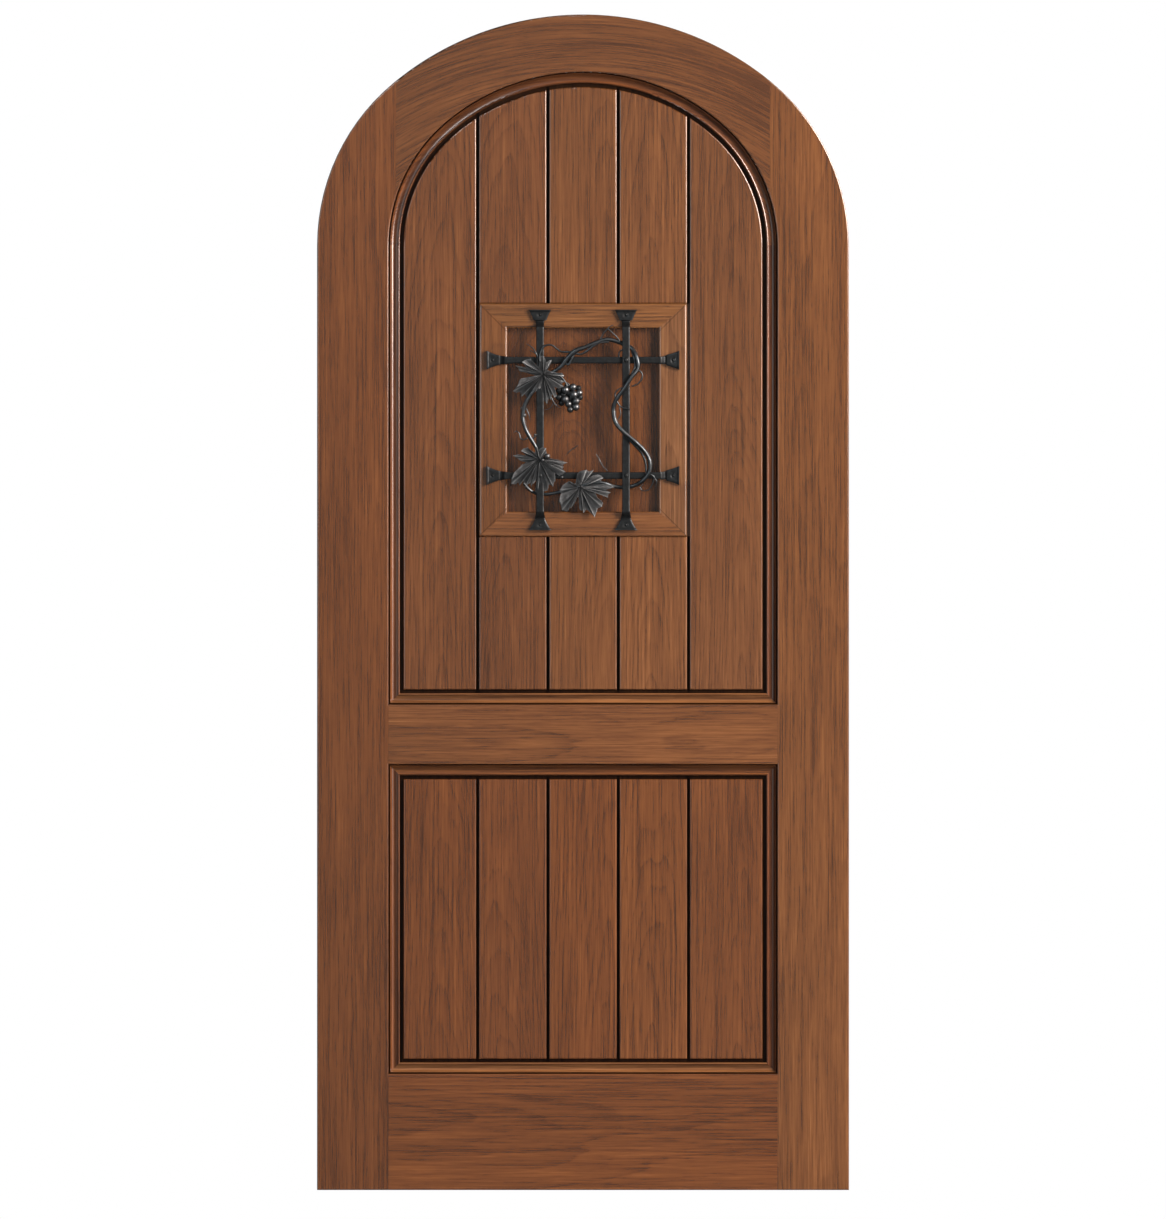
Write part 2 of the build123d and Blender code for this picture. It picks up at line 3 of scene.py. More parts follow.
import bmesh
import bpy
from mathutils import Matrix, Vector


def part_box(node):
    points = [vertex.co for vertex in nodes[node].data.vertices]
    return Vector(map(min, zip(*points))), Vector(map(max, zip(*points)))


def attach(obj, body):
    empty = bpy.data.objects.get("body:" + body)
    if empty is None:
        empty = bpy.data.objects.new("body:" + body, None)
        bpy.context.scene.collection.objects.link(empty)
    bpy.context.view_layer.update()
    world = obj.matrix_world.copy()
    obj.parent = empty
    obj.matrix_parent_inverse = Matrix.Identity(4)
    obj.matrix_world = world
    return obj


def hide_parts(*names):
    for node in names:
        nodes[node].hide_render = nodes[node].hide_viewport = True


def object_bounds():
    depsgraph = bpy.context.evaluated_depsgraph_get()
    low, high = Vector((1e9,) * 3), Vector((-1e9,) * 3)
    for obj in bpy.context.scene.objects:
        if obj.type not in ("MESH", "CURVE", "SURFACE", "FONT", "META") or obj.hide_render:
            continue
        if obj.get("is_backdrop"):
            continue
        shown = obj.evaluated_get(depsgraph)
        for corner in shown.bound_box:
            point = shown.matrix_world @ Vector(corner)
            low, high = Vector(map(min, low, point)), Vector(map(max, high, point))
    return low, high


# The looks of an arched door leaf with a grilled shutter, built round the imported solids. Lengths
# are in metres, unless a name ends in _mm or a comment gives millimetres. X runs to the lock edge,
# the front faces -Y and Z is up.

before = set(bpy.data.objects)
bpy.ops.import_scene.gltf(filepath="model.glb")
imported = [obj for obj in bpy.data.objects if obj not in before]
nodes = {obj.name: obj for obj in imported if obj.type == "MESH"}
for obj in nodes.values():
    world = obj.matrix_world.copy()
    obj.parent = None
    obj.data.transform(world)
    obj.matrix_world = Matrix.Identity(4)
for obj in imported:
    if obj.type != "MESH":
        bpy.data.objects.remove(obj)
cad_low, cad_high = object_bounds()

MM = 0.001
DOOR = "door_leaf"
SHUTTER = "shutter"
# Sockets of a Mix node that mixes colours
FIRST_COLOR, SECOND_COLOR, MIXED_COLOR = 6, 7, 2


def box_middle(name):
    low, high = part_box(name)
    return (low + high) / 2


leaf_front_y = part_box("hinge_stile")[0].y
mid_x = (cad_low.x + cad_high.x) / 2
frame_face = -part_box("opening_frame_left")[0].y
opening_z = (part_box("opening_frame_top")[1].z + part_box("opening_frame_bottom")[0].z) / 2
frame_low, frame_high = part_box("opening_frame_top")
# How much further up than to the side the corners of the opening's frame lie
mitre_shift = frame_high.z - opening_z - (frame_high.x - frame_low.x) / 2


# --- Node helpers: used for materials and for geometry trees alike

def add(tree, kind, inputs=None, **settings):
    """Add a node, set its options, and give each named input a value or a link."""
    node = tree.nodes.new(kind)
    for key, value in settings.items():
        setattr(node, key, value)
    for key, value in (inputs or {}).items():
        if isinstance(value, bpy.types.NodeSocket):
            tree.links.new(value, node.inputs[key])
        else:
            node.inputs[key].default_value = value
    return node


def calc(tree, operation, *values, clamp=False):
    inputs = dict(enumerate(values))
    return add(tree, "ShaderNodeMath", inputs, operation=operation, use_clamp=clamp).outputs[0]


def vector(tree, operation, *values):
    node = add(tree, "ShaderNodeVectorMath", dict(enumerate(values)), operation=operation)
    return node.outputs["Value" if operation == "DOT_PRODUCT" else "Vector"]


def combine(tree, **parts):
    """A vector from its X, Y and Z. A part that isn't given is zero."""
    return add(tree, "ShaderNodeCombineXYZ", parts).outputs[0]


def split(tree, place):
    return add(tree, "ShaderNodeSeparateXYZ", {0: place}).outputs


def ease(tree, value, start, end, low=0.0, high=1.0):
    """A smooth step of value, from low at start to high at end."""
    step = add(tree, "ShaderNodeMapRange", {
        "Value": value, "From Min": start, "From Max": end, "To Min": low, "To Max": high},
        interpolation_type="SMOOTHSTEP")
    return step.outputs["Result"]


def centred(tree, value, width):
    """A value between 0 and 1, moved to lie evenly round zero and given a width."""
    return calc(tree, "MULTIPLY", calc(tree, "SUBTRACT", value, 0.5), width)


def apart(tree, first, second):
    return calc(tree, "ABSOLUTE", calc(tree, "SUBTRACT", first, second))


def distance(tree, first, second):
    """How far a place is that lies this far one way and this far at right angles to it."""
    squares = [calc(tree, "MULTIPLY", side, side) for side in (first, second)]
    return calc(tree, "SQRT", calc(tree, "ADD", *squares))


def noise(tree, place, waves, detail=2.0, roughness=0.5):
    """Noise whose waves per metre are given along each axis."""
    stretched = vector(tree, "MULTIPLY", place, waves)
    inputs = {"Vector": stretched, "Scale": 1.0, "Detail": detail, "Roughness": roughness}
    return add(tree, "ShaderNodeTexNoise", inputs).outputs[0]


def new_tree(name, kind, inputs, outputs):
    tree = bpy.data.node_groups.new(name, kind)
    for label, socket, default in inputs:
        made = tree.interface.new_socket(label, in_out="INPUT", socket_type="NodeSocket" + socket)
        if default is not None:
            made.default_value = default
    for label, socket in outputs:
        tree.interface.new_socket(label, in_out="OUTPUT", socket_type="NodeSocket" + socket)
    given, result = tree.nodes.new("NodeGroupInput"), tree.nodes.new("NodeGroupOutput")
    return tree, given.outputs, result.inputs


def new_material(name):
    """An empty material, and its node tree."""
    material = bpy.data.materials.new(name)
    material.use_nodes = True
    material.node_tree.nodes.clear()
    return material, material.node_tree


def finish_material(tree, shader):
    add(tree, "ShaderNodeOutputMaterial", {"Surface": shader.outputs[0]})


# --- Timber

def make_timber_figure():
    """The figure of a sawn board. Grain holds the place across, through and along the board."""
    seed_shift = (7.31, 3.17, 11.73)
    wander_waves, sway_waves, ragged_waves = (6, 6, 1.3), (9, 4, 1.9), (160, 160, 9)
    wander_width = 0.05
    ragged_width = 0.5
    late_wood_power, late_wood_end = 3.0, 0.9
    faintest_line = 0.25
    pore_waves, pore_start, pore_end = (1100, 1100, 42), 0.58, 0.70
    line_weight, pore_weight = 0.26, 0.13
    fibre_height = 0.5
    # From clouds to fibres: waves per metre, detail, roughness, and weight in the tint
    layers = (
        ((8, 8, 0.9), 2.0, 0.5, 0.5),
        ((15, 15, 3), 3.0, 0.5, 0.3),
        ((95, 95, 2.2), 3.0, 0.6, 0.45),
        ((260, 260, 3.5), 2.0, 0.6, 0.75),
        ((520, 520, 13), 3.0, 0.6, 0.95))
    tree, given, result = new_tree(
        "timber_figure", "ShaderNodeTree",
        [("Grain", "Vector", None), ("Seed", "Float", 0.0), ("Pith Shift", "Float", 0.0),
         ("Pith Depth", "Float", 0.08), ("Slope", "Float", 0.05), ("Ring Width", "Float", 0.007)],
        [("Tint", "Float"), ("Height", "Float")])
    seed = given["Seed"]
    shift = vector(tree, "MULTIPLY", combine(tree, X=seed, Y=seed, Z=seed), seed_shift)
    place = vector(tree, "ADD", given["Grain"], shift)
    parts = split(tree, given["Grain"])

    # Growth rings round a pith that lies askew to the board, each ending in a line of late wood
    wander = centred(tree, noise(tree, place, wander_waves), wander_width)
    sway = centred(tree, noise(tree, place, sway_waves), wander_width)
    across = calc(tree, "ADD", calc(tree, "SUBTRACT", parts["X"], given["Pith Shift"]), wander)
    pith_depth = calc(tree, "MULTIPLY_ADD", parts["Z"], given["Slope"], given["Pith Depth"])
    radius = distance(tree, across, calc(tree, "ADD", pith_depth, sway))
    ragged = calc(tree, "MULTIPLY", noise(tree, place, ragged_waves, 3.0), ragged_width)
    rings = calc(tree, "ADD", calc(tree, "DIVIDE", radius, given["Ring Width"]), ragged)
    phase = calc(tree, "FRACT", rings)
    late = calc(tree, "MULTIPLY", calc(tree, "POWER", phase, late_wood_power),
                ease(tree, phase, late_wood_end, 1.0, 1.0, 0.0))
    each = add(tree, "ShaderNodeTexWhiteNoise", {"W": calc(tree, "FLOOR", rings)},
               noise_dimensions="1D").outputs["Value"]
    strength = calc(tree, "MULTIPLY_ADD", each, 1 - faintest_line, faintest_line)
    line = calc(tree, "MULTIPLY", late, strength)

    tint = 0.5
    for waves, detail, roughness, weight in layers:
        layer = noise(tree, place, waves, detail, roughness)
        tint = calc(tree, "ADD", tint, centred(tree, layer, weight))
    fibre = layer
    pore = ease(tree, noise(tree, place, pore_waves, 1.0), pore_start, pore_end)
    for mark, weight in ((line, line_weight), (pore, pore_weight)):
        tint = calc(tree, "SUBTRACT", tint, calc(tree, "MULTIPLY", mark, weight))
    height = calc(tree, "SUBTRACT", calc(tree, "MULTIPLY", fibre, fibre_height),
                  calc(tree, "ADD", pore, line))
    tree.links.new(tint, result["Tint"])
    tree.links.new(height, result["Height"])
    return tree


timber_figure = make_timber_figure()
# The stain's colour, from the darkest tint to the lightest
timber_stain = (
    (0.0, (0.042, 0.0115, 0.0026)), (0.3, (0.104, 0.0315, 0.0078)), (0.5, (0.146, 0.0465, 0.0118)),
    (0.7, (0.196, 0.0650, 0.0175)), (1.0, (0.285, 0.104, 0.030)))
dark_tint, light_tint = 0.2, 0.8
dark_roughness, light_roughness = 0.44, 0.36
pore_strength, pore_depth = 0.3, 0.0003
varnish = {"Coat Weight": 1.0, "Coat Roughness": 0.23, "Coat IOR": 2.3, "Specular IOR Level": 0.05}
# How light the wood is, where an open face has 1: painted shade in grooves, on a quirk's floor
# and on slopes turned from the light, and the dark lines of the mitres
groove_shade, quirk_shade, slope_shade, mitre_shade = 0.12, 0.15, 0.4, 0.25
# Painted light and shade on mouldings: slopes that face this way, up and to the right towards the
# key lamp, keep their colour, and slopes turned away from it are darkened
painted_light_side = (0.77, 0.0, 0.64)
# The arched rail's figure runs round a centre below its crown
head_grain_center_z = 1.28
head_grain_radius = 0.65


def shade_hollows(tree, y, painted_shade_below, quirk_depth):
    """Painted shade: the wood is darkened in grooves and gaps, nearer to the mid plane than the
    given depth. A moulding, which has a quirk of a given depth, also gets painted shade on the
    quirk's floor and on its slopes that face away from the light."""
    fade_under, fade_over = 0.0012, 0.0006
    tilted_facing, level_facing = 0.9, 0.98
    off_floor, on_floor = 0.0006, 0.0003
    shaded_facing, lit_facing = -0.15, 0.4
    depth = calc(tree, "ABSOLUTE", y)
    # Painted shade in grooves and gaps: darker the nearer the surface lies to the mid plane
    shade = ease(tree, depth, painted_shade_below - fade_under, painted_shade_below + fade_over, groove_shade, 1.0)
    if not quirk_depth:
        return shade
    normal = add(tree, "ShaderNodeNewGeometry").outputs["Normal"]
    to_front = vector(tree, "DOT_PRODUCT", normal, (0, -1, 0))
    faces_front = ease(tree, to_front, tilted_facing, level_facing)
    # Painted shade on the quirk's floor, the level strip at the quirk's depth that faces the front
    near_floor = ease(tree, apart(tree, depth, quirk_depth), off_floor, on_floor)
    in_quirk = calc(tree, "MULTIPLY", faces_front, near_floor)
    shade = calc(tree, "MULTIPLY", shade,
                 calc(tree, "MULTIPLY_ADD", in_quirk, quirk_shade - 1, 1.0))
    # Painted light and shade on the slopes, by how far each faces the light
    facing = vector(tree, "DOT_PRODUCT", normal, painted_light_side)
    painted_slope_shade = ease(tree, facing, shaded_facing, lit_facing, slope_shade, 1.0)
    return calc(tree, "MULTIPLY", shade, painted_slope_shade)


def shade_mitres(tree, x, z):
    """Dark lines where the members of the opening's frame meet."""
    mitre_width = 0.0014
    beside, above = apart(tree, x, mid_x), apart(tree, z, opening_z)
    shifted = calc(tree, "ADD", calc(tree, "SUBTRACT", beside, above), mitre_shift)
    return ease(tree, calc(tree, "ABSOLUTE", shifted), 0.0, mitre_width, mitre_shade, 1.0)


def timber(name, grain, tone, seed, pith_shift, pith_depth, slope, ring_width,
           painted_shade_below=None, mitred=False, quirk_depth=None):
    """Stained, varnished wood whose grain runs upright, level or round the head."""
    material, tree = new_material(name)
    x, y, z = split(tree, add(tree, "ShaderNodeTexCoord").outputs["Object"])
    if grain == "upright":
        across, along = x, z
    elif grain == "level":
        across, along = z, x
    else:
        out = calc(tree, "SUBTRACT", x, mid_x)
        up = calc(tree, "SUBTRACT", z, head_grain_center_z)
        across = distance(tree, out, up)
        along = calc(tree, "MULTIPLY", calc(tree, "ARCTAN2", out, up), head_grain_radius)
    figure = add(tree, "ShaderNodeGroup", {
        "Grain": combine(tree, X=across, Y=y, Z=along), "Seed": seed, "Pith Shift": pith_shift,
        "Pith Depth": pith_depth, "Slope": slope, "Ring Width": ring_width},
        node_tree=timber_figure)
    tint = figure.outputs["Tint"]
    ramp = add(tree, "ShaderNodeValToRGB", {"Fac": tint})
    while len(ramp.color_ramp.elements) < len(timber_stain):
        ramp.color_ramp.elements.new(0.5)
    for stop, (at, color) in zip(ramp.color_ramp.elements, timber_stain):
        stop.position = at
        stop.color = (*[c * t for c, t in zip(color, tone)], 1)
    color = ramp.outputs["Color"]
    shade = None
    # Painted shade in hollows and on slopes turned from the light, or the frame's dark mitre lines
    if painted_shade_below:
        shade = shade_hollows(tree, y, painted_shade_below, quirk_depth)
    elif mitred:
        shade = shade_mitres(tree, x, z)
    if shade:
        inputs = {0: color, "Scale": shade}
        color = add(tree, "ShaderNodeVectorMath", inputs, operation="SCALE").outputs[0]
    bump = add(tree, "ShaderNodeBump", {
        "Height": figure.outputs["Height"], "Strength": pore_strength, "Distance": pore_depth})
    shader = add(tree, "ShaderNodeBsdfPrincipled", {
        "Base Color": color, "Normal": bump.outputs[0], **varnish,
        "Roughness": ease(tree, tint, dark_tint, light_tint, dark_roughness, light_roughness)})
    # The painted shade and the mitre lines also thin the varnish's coat, dimming its reflections
    # there
    if shade:
        tree.links.new(shade, shader.inputs["Coat Weight"])
    finish_material(tree, shader)
    return material


def dress(name, material):
    data = nodes[name].data
    data.materials.clear()
    data.materials.append(material)


# Tones say how light a board is in red, green and blue, beside the stain. Each board of the leaf's
# frame has its grain, tone, seed, pith shift, pith depth, slope and ring width.
frame_boards = {
    "hinge_stile": ("upright", (1.07, 1.14, 0.98), 1.0, 0.03, 0.25, 0.010, 0.009),
    "lock_stile": ("upright", (1.22, 1.48, 1.51), 2.0, 0.88, 0.25, 0.012, 0.009),
    "arched_top_rail": ("head", (0.94, 1.11, 1.18), 3.0, 0.45, 0.10, 0.05, 0.008),
    "mid_rail": ("level", (1.15, 1.37, 1.43), 4.0, 0.78, 0.12, 0.02, 0.008),
    "bottom_rail": ("level", (1.16, 1.21, 0.95), 5.0, 0.10, 0.12, 0.03, 0.008)}
for name, board in frame_boards.items():
    dress(name, timber(f"timber_{name}", *board))

plank_seeds = {"upper": 10.0, "lower": 20.0}
plank_tones = {
    "upper": ((1.08, 1.24, 1.31), (0.97, 1.11, 1.2), (1.09, 1.31, 1.42), (1.3, 1.62, 1.85),
              (1.08, 1.33, 1.56)),
    "lower": ((1.15, 1.19, 0.95), (0.99, 1.02, 0.88), (1.22, 1.28, 1.04), (1.32, 1.45, 1.24),
              (1.15, 1.25, 1.13))}
plank_pith_shifts = (0.01, -0.02, 0.03, -0.01, 0.015)
plank_slopes = (0.075, 0.055, 0.03, 0.06, 0.05)
plank_pith_depth, plank_pith_drop, plank_ring_width = 0.03, 0.35, 0.0055
# Painted shade on the planks: in the gaps between them and on the last millimetre of their arrises
plank_painted_shade_below = 0.0112
for row, tones in plank_tones.items():
    for index, tone in enumerate(tones):
        name = f"{row}_plank_{index + 1}"
        middle = box_middle(name)
        slope = plank_slopes[index]
        dress(name, timber(
            f"timber_{name}", "upright", tone, plank_seeds[row] + index,
            middle.x + plank_pith_shifts[index],
            plank_pith_depth - slope * (middle.z - plank_pith_drop), slope, plank_ring_width,
            painted_shade_below=plank_painted_shade_below))

# How light the mouldings on each side are, beside the stain: painted light and shade, set for each
# side by how it catches the light, with the upward-facing bottom ones much lighter and the right
# ones darker
moulding_painted_light_tones = {
    "left": (1.25, 1.28, 1.12), "right": (1.12, 1.04, 0.75), "arch": (1.15, 1.18, 1.05),
    "top": (1.6, 1.8, 1.65), "bottom": (1.9, 2.5, 3.0)}
moulding_grains = {"arch": "head", "top": "level", "bottom": "level"}
moulding_seed = 30
# Painted shade on the mouldings, at the floor of the gap round the planks' field
moulding_painted_shade_below = 0.0068
# The quirk's floor, which gets painted shade, lies this far below the moulding's front
quirk_sink = 0.0035
quirk_floor = -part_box("upper_moulding_left")[0].y - quirk_sink
for name in nodes:
    if "moulding" in name:
        side = name.split("_")[-1]
        dress(name, timber(
            f"timber_{name}", moulding_grains.get(side, "upright"), moulding_painted_light_tones[side],
            moulding_seed + len(name), pith_shift=0.5, pith_depth=0.2, slope=0.01,
            ring_width=0.006, painted_shade_below=moulding_painted_shade_below, quirk_depth=quirk_floor))

opening_tones = {
    "left": (1.14, 1.38, 1.39),
    "right": (1.1, 1.5, 2.08),
    "top": (1.5, 2.02, 2.24),
    "bottom": (1.28, 1.6, 1.78)}
opening_seed = 40
for side, tone in opening_tones.items():
    name = f"opening_frame_{side}"
    dress(name, timber(
        f"timber_{name}", "upright" if side in ("left", "right") else "level", tone,
        opening_seed + len(side), pith_shift=box_middle(name).x, pith_depth=0.06, slope=0.03,
        ring_width=0.006, mitred=True))

dress("shutter_panel", timber(
    "timber_shutter_panel", "upright", (0.93, 1.03, 1.0), seed=53.0, pith_shift=mid_x - 0.02,
    pith_depth=-0.62, slope=0.5, ring_width=0.009))


# --- Iron

def iron(name, color, roughness, dent=0.25, metallic=0.7, burnish=None):
    """Forged iron under dark wax. Where the piece has a burnish attribute, the wax is rubbed off to
    bright metal, and its chasing attribute makes fine lines."""
    cloud_waves, grit_waves = (120, 120, 120), (900, 900, 900)
    cloud_start, cloud_end, dark_share = 0.3, 0.7, 0.55
    grit_start, grit_end, least_wear = 0.25, 0.6, 0.5
    uneven_roughness, burnished_roughness = 0.08, -0.12
    chasing_pitch, chasing_height = 0.0017, 0.6
    dent_depth = 0.0004
    material, tree = new_material(name)
    place = add(tree, "ShaderNodeTexCoord").outputs["Object"]
    cloud = noise(tree, place, cloud_waves, 4.0)
    grain = noise(tree, place, grit_waves, 3.0)
    mix = add(tree, "ShaderNodeMix", {
        "Factor": ease(tree, cloud, cloud_start, cloud_end),
        FIRST_COLOR: (*[c * dark_share for c in color], 1), SECOND_COLOR: (*color, 1)},
        data_type="RGBA")
    tint = mix.outputs[MIXED_COLOR]
    rough = ease(tree, cloud, cloud_start, cloud_end, roughness + uneven_roughness,
                 roughness - uneven_roughness)
    height = grain
    if burnish:
        worn = add(tree, "ShaderNodeAttribute", attribute_name="burnish").outputs["Fac"]
        wear = ease(tree, grain, grit_start, grit_end, least_wear, 1.0)
        worn = calc(tree, "MULTIPLY", worn, wear)
        rub = add(tree, "ShaderNodeMix", {
            "Factor": worn, FIRST_COLOR: tint, SECOND_COLOR: (*burnish, 1)}, data_type="RGBA")
        tint = rub.outputs[MIXED_COLOR]
        rough = calc(tree, "MULTIPLY_ADD", worn, burnished_roughness, rough)
        chased = add(tree, "ShaderNodeAttribute", attribute_name="chasing").outputs["Fac"]
        lines = calc(tree, "SINE", calc(tree, "MULTIPLY", chased, tau / chasing_pitch))
        height = calc(tree, "MULTIPLY_ADD", lines, chasing_height, grain)
    bump = add(tree, "ShaderNodeBump", {
        "Height": height, "Strength": dent, "Distance": dent_depth})
    finish_material(tree, add(tree, "ShaderNodeBsdfPrincipled", {
        "Base Color": tint, "Roughness": rough, "Normal": bump.outputs[0], "Metallic": metallic}))
    return material


bar_iron = iron("iron_bar", (0.034, 0.0415, 0.046), 0.42, dent=0.45)
vine_iron = iron("iron_vine", (0.130, 0.155, 0.172), 0.38, dent=0.03, metallic=1.0)
leaf_iron = iron("iron_leaf", (0.046, 0.055, 0.062), 0.47, dent=0.9, burnish=(0.42, 0.47, 0.50))
grape_iron = iron("iron_grape", (0.21, 0.23, 0.245), 0.42, dent=0.02, metallic=1.0)
hinge_iron = iron("iron_hinge", (0.04, 0.042, 0.045), 0.42)
for name in nodes:
    if "_hinge_" in name or "knob" in name:
        dress(name, hinge_iron)


# --- Making pieces from points and geometry trees

def grille_point(across_mm, up_mm, depth_mm):
    """A place, from the middle of the opening and its depth in front of the mid plane."""
    return Vector((mid_x + across_mm * MM, -depth_mm * MM, opening_z + up_mm * MM))


def keep(name, mesh, body, slot, *replaced):
    """Make a finished mesh a piece of the object."""
    piece = bpy.data.objects.new(name, mesh)
    bpy.context.scene.collection.objects.link(piece)
    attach(piece, body)
    if replaced:
        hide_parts(*replaced)
    return piece


def grow(name, tree, source, values, body, *replaced):
    """Run a geometry tree on a mesh and keep what it makes as a plain iron piece."""
    base = bpy.data.objects.new(name + "_source", source)
    bpy.context.scene.collection.objects.link(base)
    modifier = base.modifiers.new("grow", "NODES")
    modifier.node_group = tree
    for item in tree.interface.items_tree:
        if item.in_out == "INPUT" and item.name in values:
            modifier[item.identifier] = values[item.name]
    bpy.context.view_layer.update()
    evaluated = base.evaluated_get(bpy.context.evaluated_depsgraph_get())
    grown = bpy.data.meshes.new_from_object(evaluated)
    bpy.data.objects.remove(base)
    grown.name = name
    return keep(name, grown, body, "iron", *replaced)


def finish_tree(tree, result, geometry, material):
    """Smooth shading but for sharp edges, then the material."""
    crease_angle = radians(38)
    smooth = add(tree, "GeometryNodeSetShadeSmooth", {"Geometry": geometry})
    angle = add(tree, "GeometryNodeInputMeshEdgeAngle").outputs[0]
    sharp = add(tree, "FunctionNodeCompare", {0: angle, 1: crease_angle}, data_type="FLOAT",
                operation="GREATER_THAN")
    creased = add(tree, "GeometryNodeSetShadeSmooth", {
        "Geometry": smooth.outputs[0], "Selection": sharp.outputs[0], "Shade Smooth": False},
        domain="EDGE")
    plain = add(tree, "GeometryNodeRealizeInstances", {"Geometry": creased.outputs[0]})
    dressed = add(tree, "GeometryNodeSetMaterial", {
        "Geometry": plain.outputs[0], "Material": material})
    tree.links.new(dressed.outputs[0], result["Geometry"])


def points_mesh(places, edges=(), radii=None):
    mesh = bpy.data.meshes.new("points")
    mesh.from_pydata([tuple(p) for p in places], list(edges), [])
    if radii:
        thickness = mesh.attributes.new("thickness", "FLOAT", "POINT")
        thickness.data.foreach_set("value", radii)
    return mesh


# --- Grille bars, with their ends forged out to fishtail feet

def make_bar_tree():
    """A bar along X, made straight with a unit square section, then given its width, depth and
    thickness."""
    station_count, section_count = 401, 48
    foot_shoulder, ramp_start = 0.0007, 0.001
    foot_flare_power, bar_flare_power, bar_flare_length = 1.3, 2.0, 0.024
    rim_height, rim_inner_share = 0.0014, 0.55
    end_thinning = 0.72
    chamfer_width, chamfer_depth = 0.0016, 0.0011
    dimple_outer, dimple_inner, dimple_depth = 0.0052, 0.0030, 0.0009
    dent_waves, dent_depth = (150, 2, 260), 0.0007
    tree, given, result = new_tree(
        "forged_bar", "GeometryNodeTree",
        [("Reach", "Float", 0.19), ("Bar Width", "Float", 0.013), ("Bar Thickness", "Float", 0.005),
         ("Bar Back", "Float", 0.022), ("Ramp Length", "Float", 0.014),
         ("Foot Length", "Float", 0.019), ("Foot Width", "Float", 0.038),
         ("First Neck", "Float", 0.018), ("Last Neck", "Float", 0.018),
         ("First Flare", "Float", 0.018), ("Last Flare", "Float", 0.018),
         ("Foot Thickness", "Float", 0.005), ("Foot Back", "Float", 0.018),
         ("Screw Inset", "Float", 0.01), ("Rim Length", "Float", 0.003),
         ("Middle", "Vector", None), ("Turn", "Float", 0.0), ("Material", "Material", None)],
        [("Geometry", "Geometry")])
    reach = given["Reach"]
    line = add(tree, "GeometryNodeCurvePrimitiveLine", {
        "Start": combine(tree, X=calc(tree, "MULTIPLY", reach, -1.0)),
        "End": combine(tree, X=reach)})
    stations = add(tree, "GeometryNodeResampleCurve", {
        "Curve": line.outputs[0], "Count": station_count})
    square = add(tree, "GeometryNodeCurvePrimitiveQuadrilateral", {"Width": 1.0, "Height": 1.0})
    section = add(tree, "GeometryNodeResampleCurve", {
        "Curve": square.outputs[0], "Count": section_count})
    prism = add(tree, "GeometryNodeCurveToMesh", {
        "Curve": stations.outputs[0], "Profile Curve": section.outputs[0], "Fill Caps": True})
    x, y, z = split(tree, add(tree, "GeometryNodeInputPosition").outputs[0])
    from_end = calc(tree, "SUBTRACT", reach, calc(tree, "ABSOLUTE", x))
    past_foot = calc(tree, "SUBTRACT", from_end, given["Foot Length"])
    foot = ease(tree, past_foot, foot_shoulder, -foot_shoulder)
    ramp = ease(tree, past_foot, ramp_start, given["Ramp Length"])
    spread = calc(tree, "SUBTRACT", 1.0, calc(tree, "DIVIDE", from_end, given["Foot Length"]),
                  clamp=True)

    def between(low, high, share):
        return calc(tree, "MULTIPLY_ADD", calc(tree, "SUBTRACT", high, low), share, low)

    is_last = calc(tree, "GREATER_THAN", x, 0.0)
    neck = between(given["First Neck"], given["Last Neck"], is_last)
    flared = between(given["First Flare"], given["Last Flare"], is_last)
    foot_width = between(neck, given["Foot Width"], calc(tree, "POWER", spread, foot_flare_power))
    bar_flare = ease(tree, past_foot, bar_flare_length, 0.0)
    bar_width = between(given["Bar Width"], flared,
                        calc(tree, "POWER", bar_flare, bar_flare_power))
    width = between(bar_width, foot_width, foot)
    back = between(given["Foot Back"], given["Bar Back"], ramp)
    rim_inner = calc(tree, "MULTIPLY", given["Rim Length"], rim_inner_share)
    rim = ease(tree, from_end, given["Rim Length"], rim_inner, 0.0, rim_height)
    foot_thickness = calc(tree, "ADD", given["Foot Thickness"], rim)
    end_thickness = calc(tree, "MULTIPLY", given["Bar Thickness"], end_thinning)
    bar_thickness = between(end_thickness, given["Bar Thickness"], ramp)
    thickness = between(bar_thickness, foot_thickness, foot)
    across = calc(tree, "MULTIPLY", z, width)
    from_edge = calc(tree, "SUBTRACT", calc(tree, "MULTIPLY", width, 0.5),
                     calc(tree, "ABSOLUTE", across))
    chamfer = ease(tree, from_edge, chamfer_width, 0.0, 0.0, chamfer_depth)
    from_screw = distance(tree, across, calc(tree, "SUBTRACT", from_end, given["Screw Inset"]))
    dimple = ease(tree, from_screw, dimple_outer, dimple_inner, 0.0, dimple_depth)
    dents = noise(tree, combine(tree, X=x, Y=y, Z=across), dent_waves, 2.0)
    face = calc(tree, "ADD", thickness, centred(tree, dents, dent_depth))
    face = calc(tree, "SUBTRACT", face, calc(tree, "ADD", chamfer, dimple))
    depth = calc(tree, "MULTIPLY_ADD", calc(tree, "SUBTRACT", 0.5, y), face, back)
    shaped = add(tree, "GeometryNodeSetPosition", {
        "Geometry": prism.outputs[0],
        "Position": combine(tree, X=x, Y=calc(tree, "MULTIPLY", depth, -1.0), Z=across)})
    placed = add(tree, "GeometryNodeTransform", {
        "Geometry": shaped.outputs[0], "Translation": given["Middle"],
        "Rotation": combine(tree, Y=given["Turn"])})
    finish_tree(tree, result, placed.outputs[0], given["Material"])
    return tree


